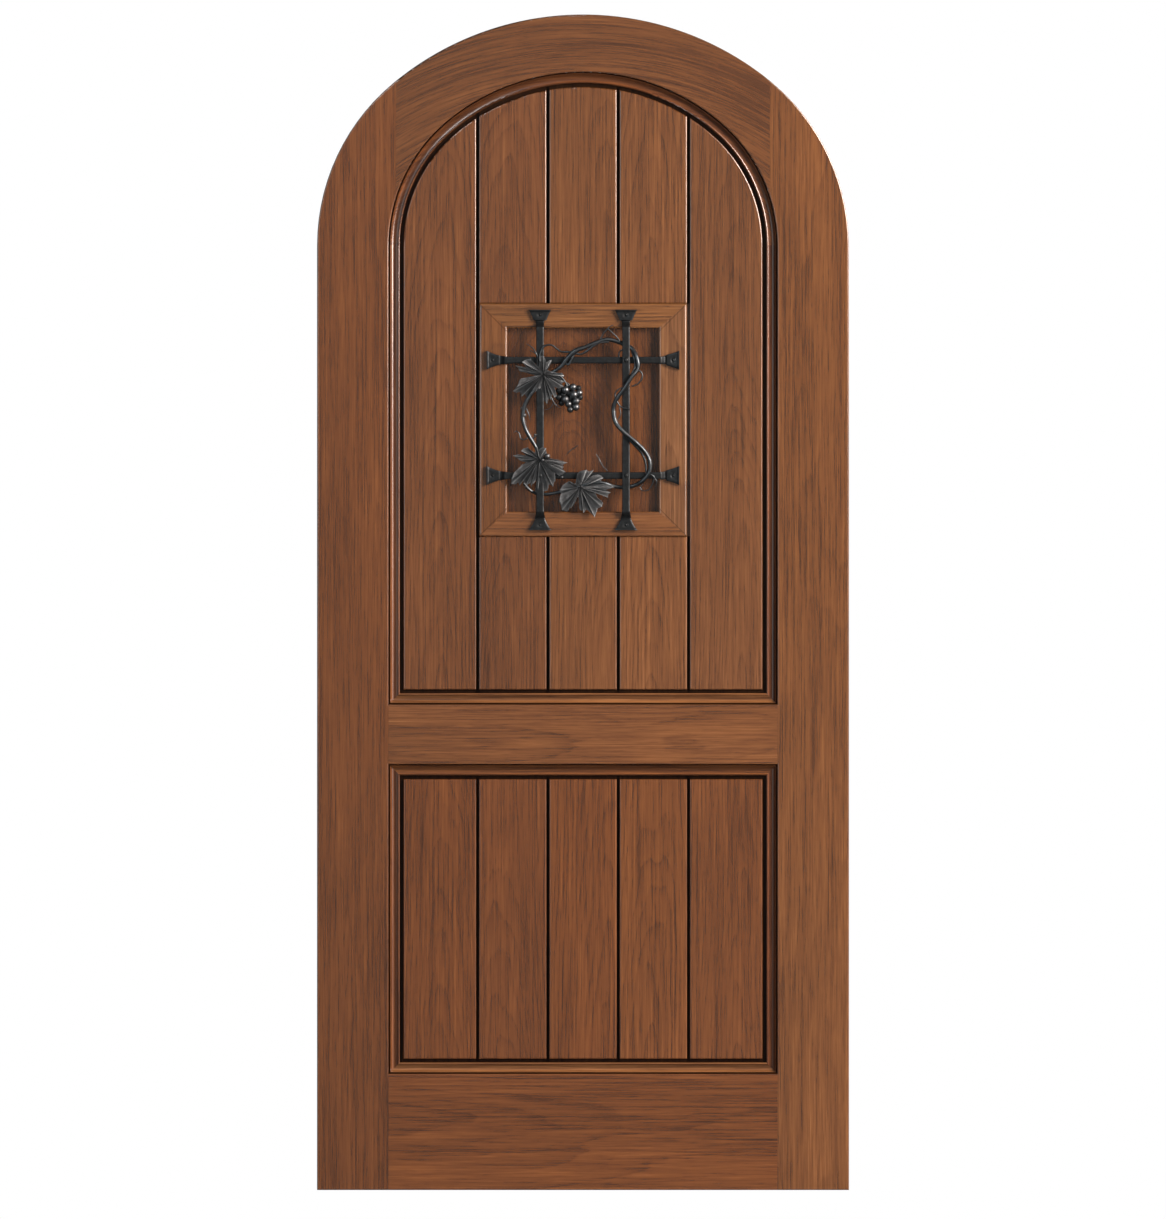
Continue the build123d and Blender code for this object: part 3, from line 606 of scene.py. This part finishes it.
bar_tree = make_bar_tree()
column_shape = {
    "Reach": 0.18825, "Bar Width": 0.013, "Bar Back": 0.027, "Ramp Length": 0.013,
    "Foot Length": 0.0185, "Foot Width": 0.0385, "First Neck": 0.0180, "First Flare": 0.0172,
    "Last Neck": 0.0225, "Last Flare": 0.0140, "Screw Inset": 0.0088, "Turn": radians(-90)}
row_shape = {
    "Reach": 0.1646, "Bar Width": 0.0117, "Bar Back": 0.022, "Ramp Length": 0.010,
    "Foot Length": 0.0225, "Foot Width": 0.0325, "First Neck": 0.0160, "First Flare": 0.0150,
    "Last Neck": 0.0185, "Last Flare": 0.0135, "Screw Inset": 0.0103, "Turn": 0.0}
column_places_mm = {"left": -73.4, "right": 73.4}
row_places_mm = {"top": 102, "bottom": -95}
bars = [(f"grille_column_{side}", column_shape, (x, 0)) for side, x in column_places_mm.items()]
bars += [(f"grille_row_{side}", row_shape, (0, z)) for side, z in row_places_mm.items()]
for name, shape, middle in bars:
    grow(f"forged_{name}", bar_tree, points_mesh([(0, 0, 0)]), {
        **shape, "Bar Thickness": 0.0048, "Foot Thickness": 0.0060, "Foot Back": frame_face,
        "Rim Length": 0.0038, "Middle": grille_point(*middle, 0), "Material": bar_iron}, DOOR, name)


# --- Screws and rivets

def make_head_tree():
    """A domed head with a raised ring round it at every point, facing the front."""
    wire_radius = 0.0005
    tree, given, result = new_tree(
        "domed_heads", "GeometryNodeTree",
        [("Geometry", "Geometry", None), ("Radius", "Float", 0.003), ("Height", "Float", 0.0016),
         ("Ring", "Float", 0.0), ("Turn", "Float", radians(90)), ("Material", "Material", None)],
        [("Geometry", "Geometry")])
    ball = add(tree, "GeometryNodeMeshUVSphere", {"Segments": 20, "Rings": 12, "Radius": 1.0})
    dome = add(tree, "GeometryNodeTransform", {
        "Geometry": ball.outputs[0],
        "Scale": combine(tree, X=given["Radius"], Y=given["Radius"], Z=given["Height"])})
    circle = add(tree, "GeometryNodeCurvePrimitiveCircle", {
        "Resolution": 28, "Radius": given["Ring"]})
    wire = add(tree, "GeometryNodeCurvePrimitiveCircle", {"Resolution": 8, "Radius": wire_radius})
    ring = add(tree, "GeometryNodeCurveToMesh", {
        "Curve": circle.outputs[0], "Profile Curve": wire.outputs[0]})
    head = add(tree, "GeometryNodeJoinGeometry")
    tree.links.new(dome.outputs[0], head.inputs[0])
    tree.links.new(ring.outputs[0], head.inputs[0])
    heads = add(tree, "GeometryNodeInstanceOnPoints", {
        "Points": given["Geometry"], "Instance": head.outputs[0],
        "Rotation": combine(tree, X=given["Turn"])})
    plain = add(tree, "GeometryNodeRealizeInstances", {"Geometry": heads.outputs[0]})
    finish_tree(tree, result, plain.outputs[0], given["Material"])
    return tree


head_tree = make_head_tree()
# The screws sit in the dimples of the feet, this far in front of the opening's frame
screw_seat_mm = 5.3
screw_face_mm = frame_face / MM + screw_seat_mm
rivet_face_mm = 31.6
column_screw_mm = (column_shape["Reach"] - column_shape["Screw Inset"]) / MM
row_screw_mm = (row_shape["Reach"] - row_shape["Screw Inset"]) / MM
screw_places = [grille_point(x, z, screw_face_mm) for x in column_places_mm.values()
                for z in (-column_screw_mm, column_screw_mm)]
screw_places += [grille_point(x, z, screw_face_mm) for x in (-row_screw_mm, row_screw_mm)
                 for z in row_places_mm.values()]
rivet_places = [grille_point(x, z, rivet_face_mm) for x in column_places_mm.values()
                for z in row_places_mm.values()]
grow("grille_screws", head_tree, points_mesh(screw_places), {
    "Radius": 0.0023, "Height": 0.0017, "Ring": 0.0037, "Material": bar_iron},
    DOOR, "grille_fasteners")
grow("grille_rivets", head_tree, points_mesh(rivet_places), {
    "Radius": 0.0039, "Height": 0.0024, "Ring": 0.0048, "Material": bar_iron}, DOOR)

# Up from the middle of a hinge plate and in from its outer edge
hinge_screws_mm = ((-21, 9), (0, 13), (21, 9))
hinge_plate_mm = 2
for body, ending in ((DOOR, "fixed_leaf"), (SHUTTER, "moving_leaf")):
    places = []
    for name in ("upper_hinge_" + ending, "lower_hinge_" + ending):
        low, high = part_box(name)
        outer, inward = (low.x, 1) if body == DOOR else (high.x, -1)
        for up_mm, in_mm in hinge_screws_mm:
            places.append((outer + inward * in_mm * MM, low.y + hinge_plate_mm * MM,
                           (low.z + high.z) / 2 + up_mm * MM))
    grow(f"hinge_screws_{ending}", head_tree, points_mesh(places), {
        "Radius": 0.0032, "Height": 0.0007, "Ring": 0.0034, "Turn": radians(-90),
        "Material": hinge_iron}, body)


# --- Vine

def make_strand_tree():
    """Smooth strands through the given points, as thick as their points say, and a little uneven
    like forged rod."""
    lump_waves, lump_strength = (75, 75, 75), 4.0
    tree, given, result = new_tree(
        "vine_strands", "GeometryNodeTree",
        [("Geometry", "Geometry", None), ("Step", "Float", 0.0013), ("Uneven", "Float", 0.12),
         ("Material", "Material", None)],
        [("Geometry", "Geometry")])
    thick = add(tree, "GeometryNodeInputNamedAttribute", {"Name": "thickness"}, data_type="FLOAT")
    lines = add(tree, "GeometryNodeMeshToCurve", {"Mesh": given["Geometry"]})
    sized = add(tree, "GeometryNodeSetCurveRadius", {
        "Curve": lines.outputs[0], "Radius": thick.outputs["Attribute"]})
    smooth = add(tree, "GeometryNodeCurveSplineType", {"Curve": sized.outputs[0]},
                 spline_type="CATMULL_ROM")
    fine = add(tree, "GeometryNodeResampleCurve", {
        "Curve": smooth.outputs[0], "Length": given["Step"]}, mode="LENGTH")
    place = add(tree, "GeometryNodeInputPosition").outputs[0]
    lumps = calc(tree, "SUBTRACT", noise(tree, place, lump_waves, 2.0), 0.5)
    factor = calc(tree, "MULTIPLY_ADD", lumps,
                  calc(tree, "MULTIPLY", given["Uneven"], lump_strength), 1.0)
    radius = calc(tree, "MULTIPLY", add(tree, "GeometryNodeInputRadius").outputs[0], factor)
    knotted = add(tree, "GeometryNodeSetCurveRadius", {"Curve": fine.outputs[0], "Radius": radius})
    circle = add(tree, "GeometryNodeCurvePrimitiveCircle", {"Resolution": 14, "Radius": 1.0})
    rods = add(tree, "GeometryNodeCurveToMesh", {
        "Curve": knotted.outputs[0], "Profile Curve": circle.outputs[0],
        "Scale": add(tree, "GeometryNodeInputRadius").outputs[0], "Fill Caps": True})
    finish_tree(tree, result, rods.outputs[0], given["Material"])
    return tree


def strands_mesh(strands):
    """Each strand is a list of (across, up, depth, radius), in millimetres."""
    places, edges, radii = [], [], []
    for strand in strands:
        first = len(places)
        places += [grille_point(*point[:3]) for point in strand]
        radii += [point[3] * MM for point in strand]
        edges += [(first + i, first + i + 1) for i in range(len(strand) - 1)]
    return points_mesh(places, edges, radii)


def grow_strands(name, strands, step, *replaced):
    grow(name, strand_tree, strands_mesh(strands), {
        "Step": step, "Uneven": 0.10, "Material": vine_iron}, DOOR, *replaced)


strand_tree = make_strand_tree()
rod_step, twig_step = 0.0013, 0.0012
main_vine = [
    (-64, 78, 30.0, 2.8), (-51, 82, 31, 3.3), (-38, 91, 32, 3.7), (-27, 105, 31.8, 4.0),
    (-13, 118, 31.6, 4.1), (3, 124, 30, 3.8), (18, 130, 28, 3.8), (33, 136, 26, 3.7),
    (46, 137, 24.4, 3.7), (62, 132.5, 22.9, 3.8), (74, 127, 22.8, 3.7), (84, 121, 25, 3.7),
    (91, 108.4, 31.6, 3.7), (94, 94.3, 32.6, 3.7), (92, 85, 33.4, 3.6), (82.6, 73, 35.6, 3.6),
    (71, 54.6, 35.6, 3.6), (58.6, 37.7, 34, 3.7), (53, 25, 31.8, 3.7), (52, 12.5, 31, 3.7),
    (56, -4.4, 32.4, 3.7), (68, -19.6, 35.5, 3.6), (88, -36.4, 35.5, 3.6), (105, -53.3, 33.4, 3.6),
    (113.5, -70, 31.6, 3.6), (113, -89, 30.9, 3.6), (101.6, -104, 29.4, 3.5),
    (86.4, -112.3, 23.4, 3.4), (70, -115, 22.9, 3.4), (51, -113, 24.2, 3.3), (36, -108, 28.4, 3.2),
    (18, -107, 31, 3.0), (0, -112, 32.4, 2.8),
]
left_branch = [
    (-70, 72, 29.4, 2.8), (-80, 56, 29.6, 3.1), (-89, 44, 30.2, 3.3), (-96, 33, 30.4, 3.5),
    (-101, 20, 30, 3.6), (-103, 3, 30, 3.6), (-98.5, -15, 30, 3.5), (-90, -31, 30.2, 3.4),
    (-81, -46, 29.8, 3.1), (-74, -64, 29.8, 2.7)]
low_branch = [
    (-8, -115, 32, 2.4), (-24, -119, 30.4, 2.6), (-38, -122.6, 28, 2.8), (-52, -125.5, 24.4, 2.9),
    (-66, -127, 22.9, 2.9), (-82, -124.5, 23, 2.8), (-94, -117, 26.8, 2.7), (-101, -108, 30.6, 2.4)]
grow_strands("vine_rods", [main_vine, left_branch, low_branch], rod_step, "vine_stem")
tendrils = [
    # The thin runner over the upper leaf, and the twig beside it
    [(-74, 100, 33, 1.6), (-74, 111, 33, 1.7), (-68, 124, 32.6, 1.7), (-60, 128, 32.2, 1.6),
     (-52, 127, 31.6, 1.6), (-45, 121.5, 31.2, 1.6), (-37, 116.5, 31.4, 1.6), (-26, 116, 32.4, 1.8),
     (-18, 116, 32, 2.0)],
    [(-76, 104, 31.6, 1.4), (-83, 119, 30, 1.1), (-90, 126, 28.6, 0.9), (-97, 130, 27.6, 0.5)],
    [(-79, 112, 30.4, 1.0), (-86, 117, 30, 0.9), (-92, 119, 29.6, 0.4)],
    # The second rod under the crown of the vine
    [(-32, 96, 30.4, 1.6), (-24, 95, 30.8, 2.2), (-20, 103, 31.4, 2.0), (-14, 113, 30, 2.0),
     (-4, 112, 29.4, 1.8), (6, 117, 29.6, 1.8), (17, 126, 29.2, 2.0), (30, 132, 27.4, 1.8),
     (44, 133, 25.4, 1.4)],
    # Crossed twigs at the top
    [(26, 132, 27, 1.2), (34, 146, 27, 1.1), (44, 158, 27.4, 1.1), (52, 162, 27.6, 0.6)],
    [(42, 156, 28, 0.9), (51, 148, 27.4, 1.1), (58, 141, 26.6, 1.2), (65, 131, 25.4, 1.2)],
    # Loops by the right column
    [(69, 121, 25.4, 1.3), (62.5, 116, 25.6, 1.3), (61.5, 108, 25.4, 1.3), (66, 101, 24.6, 1.2)],
    [(92, 86, 33.6, 1.6), (99.5, 81, 33.4, 1.5), (101, 72, 33.2, 1.5), (94, 62, 33, 1.4),
     (83, 57, 33.2, 1.2)],
    [(70, 56, 35.4, 1.2), (59, 51, 34.4, 1.3), (54.5, 43, 33.6, 1.4), (58, 32, 34, 1.5),
     (64, 23, 34.4, 1.4), (74, 19, 34.6, 1.3), (81, 18.5, 34.4, 0.7)],
    [(62, 22, 33.8, 1.2), (64, 10, 33.4, 1.1), (60, 0, 33, 1.0)],
    # Second rods beside the vine
    [(83, 118, 24.6, 1.8), (87, 106, 29.4, 1.9), (89, 92, 31, 1.8), (85, 82, 32.6, 1.6),
     (76, 68, 34.2, 1.4)],
    [(72, -27, 34.2, 1.6), (88, -43, 33, 2.1), (101, -58, 31, 2.2), (107, -74, 29.6, 2.2),
     (108, -92, 29.2, 1.8)],
    # Curls at the lower corners
    [(-96, -31, 30.2, 1.2), (-101, -34, 30.4, 1.2), (-107, -31, 30.2, 1.1), (-109, -23, 29.8, 1.0),
     (-114, -19, 29.4, 0.9), (-118, -22, 29.2, 0.5)],
    [(-88, -34, 31, 1.0), (-82, -28, 31.4, 1.3), (-79, -24, 31.2, 0.7)],
    [(-97, 20, 31, 0.9), (-92, 8, 31, 0.9), (-91, 0, 30.6, 0.5)],
    [(112, -92, 31, 1.3), (121, -97, 30, 1.1), (119, -108, 29, 1.0), (112, -119, 28, 1.0),
     (102, -121, 27.4, 1.0), (98, -115, 27, 0.9), (104, -109, 27, 0.5)],
    [(122, -98, 29.4, 0.8), (126, -106, 28.6, 0.6), (124, -114, 28, 0.3)],
    # Loose twigs over the shutter
    [(-30, -61, 27, 0.5), (-22, -53, 26.6, 0.9), (-12, -46, 26.4, 0.9), (-8, -43, 26.2, 0.4)],
    [(22, -58, 27, 0.5), (27, -66, 27.2, 0.9), (33, -78, 27.4, 1.0), (42, -87, 27.6, 0.6)],
    [(-56, 44, 29, 0.9), (-50, 30, 28.4, 0.9), (-42, 22, 28, 0.8), (-33, 20, 27.8, 0.4)],
    [(-50, 30, 28, 0.7), (-56, 20, 27.6, 0.6), (-66, 17, 27.2, 0.3)],
]
grow_strands("vine_tendrils", tendrils, twig_step)


# --- Leaves: sheets folded along the veins that run from the stalk to every tooth

leaf_plate_thickness = 0.0013
# Points of a leaf's outline: how far one must stand out, in millimetres, to be a tooth that carries
# a whole crest, and how much of a crest the others keep and lose for each millimetre of hollow
tooth_least, edge_crest, crest_loss = 1.0, 0.55, 0.11
# Heights in millimetres of the fold along a vein and of the sharp ridge on it
fold_height, ridge_height = 1.5, 0.8
least_swell, swell_range, golden_share = 0.65, 0.7, 0.618
fold_power, fold_start, edge_flattening, ridge_power = 1.2, 2.5, 0.4, 10
# The droop is given for a tooth this far out, in millimetres
droop_reach = 50
# How bright the veins start at the heart, and how bright the very edge is
heart_burnish, edge_burnish = 0.25, 0.3
vein_burnish_power, edge_burnish_power = 9, 12
chasing_bend = 9


def make_leaf(name, middle, outline, droop, tilt, replaced):
    """Outline goes clockwise round the leaf in millimetres from its middle. Its points far out are
    teeth, where a vein lifts the sheet. Tilt lifts the leaf towards the right and the top, in
    millimetres for each one."""
    steps, rings = 6, 24
    lengths = [(x * x + z * z) ** 0.5 for x, z in outline]
    crests = []
    for before, here, after in zip(lengths[-1:] + lengths, lengths, lengths[1:] + lengths[:1]):
        hollow = min(before, after) - here
        is_tooth = hollow <= -tooth_least and here >= max(before, after)
        kept = max(0.0, edge_crest - crest_loss * max(0.0, hollow))
        crests.append(1.0 if is_tooth else kept)
    spokes = []
    for i, (x, z) in enumerate(outline):
        next_x, next_z = outline[(i + 1) % len(outline)]
        next_crest = crests[(i + 1) % len(outline)]
        swell = least_swell + swell_range * (i * golden_share % 1)
        for k in range(steps):
            share = k / steps
            spokes.append((x + (next_x - x) * share, z + (next_z - z) * share,
                           crests[i] + (next_crest - crests[i]) * share, swell))
    mesh = bmesh.new()
    burnish = mesh.verts.layers.float.new("burnish")
    chasing = mesh.verts.layers.float.new("chasing")
    heart = mesh.verts.new(grille_point(*middle))
    circles = []
    for ring in range(1, rings + 1):
        out = ring / rings
        circle = []
        for x, z, crest, swell in spokes:
            length = (x * x + z * z) ** 0.5
            # The folds rise from the heart and flatten a little towards the edge, which hangs
            fold = (fold_height * crest ** fold_power * min(1, out * fold_start)
                    * (1 - edge_flattening * out) * swell)
            ridge = ridge_height * crest ** ridge_power
            hang = droop * out ** 2 * (length / droop_reach) ** 2
            depth = middle[2] + (fold + ridge) - hang + out * (x * tilt[0] + z * tilt[1])
            vert = mesh.verts.new(grille_point(middle[0] + x * out, middle[1] + z * out, depth))
            # The veins and the very edge are rubbed bright
            vein = crest ** vein_burnish_power * (heart_burnish + (1 - heart_burnish) * out)
            vert[burnish] = min(1, vein + edge_burnish * out ** edge_burnish_power)
            vert[chasing] = (length * out + crest * chasing_bend) * MM
            circle.append(vert)
        circles.append(circle)
    for k in range(len(spokes)):
        n = (k + 1) % len(spokes)
        mesh.faces.new((heart, circles[0][k], circles[0][n]))
        for inner, outer in zip(circles, circles[1:]):
            mesh.faces.new((inner[k], outer[k], outer[n], inner[n]))
    mesh.normal_update()
    if sum(face.normal.y for face in mesh.faces) > 0:
        bmesh.ops.reverse_faces(mesh, faces=mesh.faces)
    data = bpy.data.meshes.new(name)
    mesh.to_mesh(data)
    mesh.free()
    data.shade_smooth()
    data.materials.append(leaf_iron)
    leaf = keep(name, data, DOOR, "iron", replaced)
    plate = leaf.modifiers.new("plate", "SOLIDIFY")
    plate.thickness = leaf_plate_thickness
    plate.offset = -1


make_leaf("leaf_upper", (-67.6, 78, 33.6), [
    (-5, 31), (0, 32), (4, 24), (5, 20), (9, 23), (14, 25), (13, 18), (7, 7), (15, 4), (26, 2),
    (32, 2), (36, -3), (31, -7), (36, -13), (31, -16), (35, -22), (27, -25), (19, -22), (21, -29),
    (23, -37), (19, -40), (15, -34), (13, -44), (9, -42), (6, -51), (1, -44), (-3, -42), (-3, -28),
    (-4, -23), (-15, -31), (-28, -42), (-32, -34), (-37, -38), (-40, -30), (-47, -32), (-52, -29),
    (-47, -23), (-43, -16), (-41, -10), (-37, -7), (-13, -2), (-32, 3), (-41, 5), (-43, 10),
    (-48, 15), (-37, 13), (-29, 12), (-37, 21), (-30, 25), (-22, 26), (-8, 12),
], 4.0, (0.02, 0.03), "vine_leaf_upper")
make_leaf("leaf_lower_left", (-75, -66.8, 33.6), [
    (-7, 11), (-6, 19), (-3, 21), (-1, 15), (2, 18), (6, 20), (9, 19), (12, 19), (12, 14), (13, 10),
    (7, 4), (35, -2), (42, -4), (49, -6), (40, -10), (42, -14), (40, -17), (45, -22), (41, -26),
    (34, -29), (27, -24), (28, -36), (25, -41), (24, -47), (17, -43), (16, -49), (14, -54),
    (7, -56), (2, -56), (-2, -63), (-7, -55), (-2, -30), (-6, -38), (-11, -43), (-14, -46),
    (-15, -41), (-19, -43), (-24, -49), (-26, -44), (-27, -37), (-33, -45), (-36, -40), (-40, -43),
    (-48, -43), (-48, -36), (-45, -27), (-43, -23), (-33, -14), (-30, -10), (-22, -6), (-32, -3),
    (-37, 1), (-45, 6), (-36, 8), (-22, 6), (-31, 14), (-27, 18), (-19, 20), (-15, 15),
], 3.5, (0.0, 0.0), "vine_leaf_lower_left")
make_leaf("leaf_lower_right", (-4.9, -115.1, 33.6), [
    (-8, 7), (-6, 17), (-5, 23), (0, 28), (11, 30), (15, 27), (23, 30), (16, 17), (25, 21),
    (31, 22), (36, 20), (40, 16), (35, 12), (43, 6), (51, 2), (60, 1), (52, -2), (43, -4), (46, -6),
    (52, -9), (48, -12), (47, -17), (26, -10), (30, -18), (36, -23), (39, -27), (37, -33),
    (30, -36), (28, -42), (25, -51), (19, -45), (14, -40), (10, -38), (6, -44), (4, -40), (0, -39),
    (-2, -34), (-2, -25), (-3, -16), (-5, -17), (-8, -25), (-16, -36), (-19, -31), (-23, -42),
    (-27, -40), (-31, -39), (-33, -30), (-36, -24), (-35, -17), (-33, -11), (-35, -5), (-31, 2),
    (-26, 7), (-19, 10), (-13, 5),
], 4.0, (-0.01, 0.02), "vine_leaf_lower_right")


# --- Grapes and buds

def make_berry_tree():
    """A round berry at every point, as large as the point's thickness says."""
    tree, given, result = new_tree(
        "berries", "GeometryNodeTree",
        [("Geometry", "Geometry", None), ("Uneven", "Float", 0.06), ("Seed", "Int", 4),
         ("Material", "Material", None)],
        [("Geometry", "Geometry")])
    ball = add(tree, "GeometryNodeMeshUVSphere", {"Segments": 28, "Rings": 18, "Radius": 1.0})
    size = add(tree, "GeometryNodeInputNamedAttribute", {"Name": "thickness"},
               data_type="FLOAT").outputs["Attribute"]
    # Sockets 2 and 3 are the least and the most of a random number, and output 1 is that number
    change = add(tree, "FunctionNodeRandomValue", {2: -1.0, 3: 1.0, "Seed": given["Seed"]},
                 data_type="FLOAT").outputs[1]
    scale = calc(tree, "MULTIPLY", size, calc(tree, "MULTIPLY_ADD", change, given["Uneven"], 1.0))
    placed = add(tree, "GeometryNodeInstanceOnPoints", {
        "Points": given["Geometry"], "Instance": ball.outputs[0], "Scale": scale})
    plain = add(tree, "GeometryNodeRealizeInstances", {"Geometry": placed.outputs[0]})
    finish_tree(tree, result, plain.outputs[0], given["Material"])
    return tree


def grow_berries(name, berries, material, *replaced):
    """Each berry is (across, up, depth, radius), in millimetres."""
    grow(name, berry_tree, strands_mesh([[berry] for berry in berries]), {
        "Uneven": 0.04, "Seed": 4, "Material": material}, DOOR, *replaced)


berry_tree = make_berry_tree()
berries = [
    (-17.2, 55.9, 31.0, 6.3), (-29.9, 51.0, 32.2, 7.0), (-15.9, 42.9, 32.2, 7.1),
    (-6.5, 46.0, 30.0, 6.1), (-30.5, 35.0, 32.2, 6.9), (-11.8, 32.0, 32.2, 6.7),
    (-24.8, 26.8, 31.8, 6.1), (-12.4, 21.6, 31.4, 6.5), (-21.7, 17.9, 28.6, 5.6)]
# Berries at the back of the cluster, made with the darker bar iron instead of the grape iron:
# painted shade, as if they lay in the shadow of the front ones
shaded_berries = [
    (-40.4, 50.0, 27.0, 6.0), (-41.0, 38.5, 27.0, 6.2), (-23.0, 45.0, 26.4, 6.4),
    (-21.0, 36.0, 27.0, 5.8), (-36.5, 29.0, 26.5, 5.4), (-8.0, 54.0, 26.0, 5.4),
    (-5.4, 38.5, 26.4, 5.4), (-27.0, 57.5, 26.4, 5.2), (-19.0, 28.5, 26.4, 5.6),
    (-34.0, 43.0, 26.8, 6.0)]
buds = [
    (-61.2, -62.2, 34.5, 4.9), (-69, -68.6, 36.6, 2.5), (-82, -25.5, 30.6, 2.2), (-101, 8, 30, 4.2),
    (-96, -31.5, 30.2, 2.0), (-36, -98, 30.6, 2.2), (-104.4, 20, 30.4, 2.4)]
stalks = [
    [(-50, 80, 33, 1.6), (-38, 74, 33, 1.3), (-31, 66, 32.4, 1.2), (-27, 58, 32, 1.1)],
    [(-40, 78, 32, 1.2), (-34, 68, 31.6, 1.0), (-22, 58, 30, 1.0), (-20, 40, 27, 0.9)]]
grow_berries("grapes", berries, grape_iron, "grape_cluster")
grow_berries("painted_shade_grapes_behind", shaded_berries, bar_iron)
grow_berries("vine_buds", buds, grape_iron)
grow_strands("grape_stalks", stalks, twig_step)


# --- Floor, light and camera

def make_floor():
    """A pale floor that isn't mirrored in the varnish of the low boards."""
    reach = 12
    mesh = bpy.data.meshes.new("floor")
    mesh.from_pydata([(mid_x - reach, -reach, 0), (mid_x + reach, -reach, 0),
                      (mid_x + reach, reach, 0), (mid_x - reach, reach, 0)], [], [(0, 1, 2, 3)])
    floor = bpy.data.objects.new("floor", mesh)
    bpy.context.scene.collection.objects.link(floor)
    material = bpy.data.materials.new("pale_floor")
    material.use_nodes = True
    shader = material.node_tree.nodes["Principled BSDF"]
    shader.inputs["Base Color"].default_value = (0.9, 0.9, 0.9, 1)
    shader.inputs["Roughness"].default_value = 0.7
    mesh.materials.append(material)
    floor.visible_glossy = False
    floor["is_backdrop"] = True


def make_lamp(name, place, target_z, size, power):
    """A softbox, given its width and height, that faces the middle of the leaf."""
    data = bpy.data.lights.new(name, "AREA")
    data.shape = "RECTANGLE"
    data.size, data.size_y = size
    data.energy = power
    lamp = bpy.data.objects.new(name, data)
    lamp.location = place
    aim = Vector((mid_x, 0, target_z)) - Vector(place)
    lamp.rotation_euler = aim.to_track_quat("-Z", "Y").to_euler()
    bpy.context.scene.collection.objects.link(lamp)
    return lamp


def make_world(strength):
    """White behind the object, and a weaker white light from all round it."""
    white = (1, 1, 1, 1)
    world = bpy.data.worlds.new("studio")
    world.use_nodes = True
    tree = world.node_tree
    tree.nodes.clear()
    seen = add(tree, "ShaderNodeBackground", {"Color": white, "Strength": 1.0})
    light = add(tree, "ShaderNodeBackground", {"Color": white, "Strength": strength})
    direct = add(tree, "ShaderNodeLightPath").outputs["Is Camera Ray"]
    mix = add(tree, "ShaderNodeMixShader", {0: direct, 1: light.outputs[0], 2: seen.outputs[0]})
    add(tree, "ShaderNodeOutputWorld", {"Surface": mix.outputs[0]})
    bpy.context.scene.world = world


def make_camera():
    """Straight in front, without perspective. The photograph shows 1.9907 m by 2.0812 m."""
    camera_distance, view_height, view_center_z = 6.0, 2.0812, 0.9911
    data = bpy.data.cameras.new("camera")
    data.type = "ORTHO"
    data.ortho_scale = view_height
    camera = bpy.data.objects.new("camera", data)
    camera.location = (mid_x, leaf_front_y - camera_distance, view_center_z)
    camera.rotation_euler = (radians(90), 0, 0)
    bpy.context.scene.collection.objects.link(camera)
    bpy.context.scene.camera = camera


make_floor()
make_world(strength=0.085)
key = make_lamp("key", (4.2, -2.9, 2.95), 1.3, size=(2.0, 2.8), power=460)
warm_light = (1.0, 0.83, 0.74)
key.data.color = warm_light
make_lamp("fill", (-2.6, -4.5, 1.8), 1.0, size=(2.2, 2.2), power=26)
make_lamp("back", (2.6, 4.4, 2.6), 1.1, size=(2.2, 2.2), power=130)
# A lamp that is only seen mirrored in the iron and the varnish
sheen = make_lamp("sheen", (-1.2, -4.6, 3.6), opening_z, size=(0.8, 0.8), power=30)
sheen.visible_diffuse = False
make_camera()
bpy.context.scene.view_settings.view_transform = "Standard"

low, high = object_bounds()
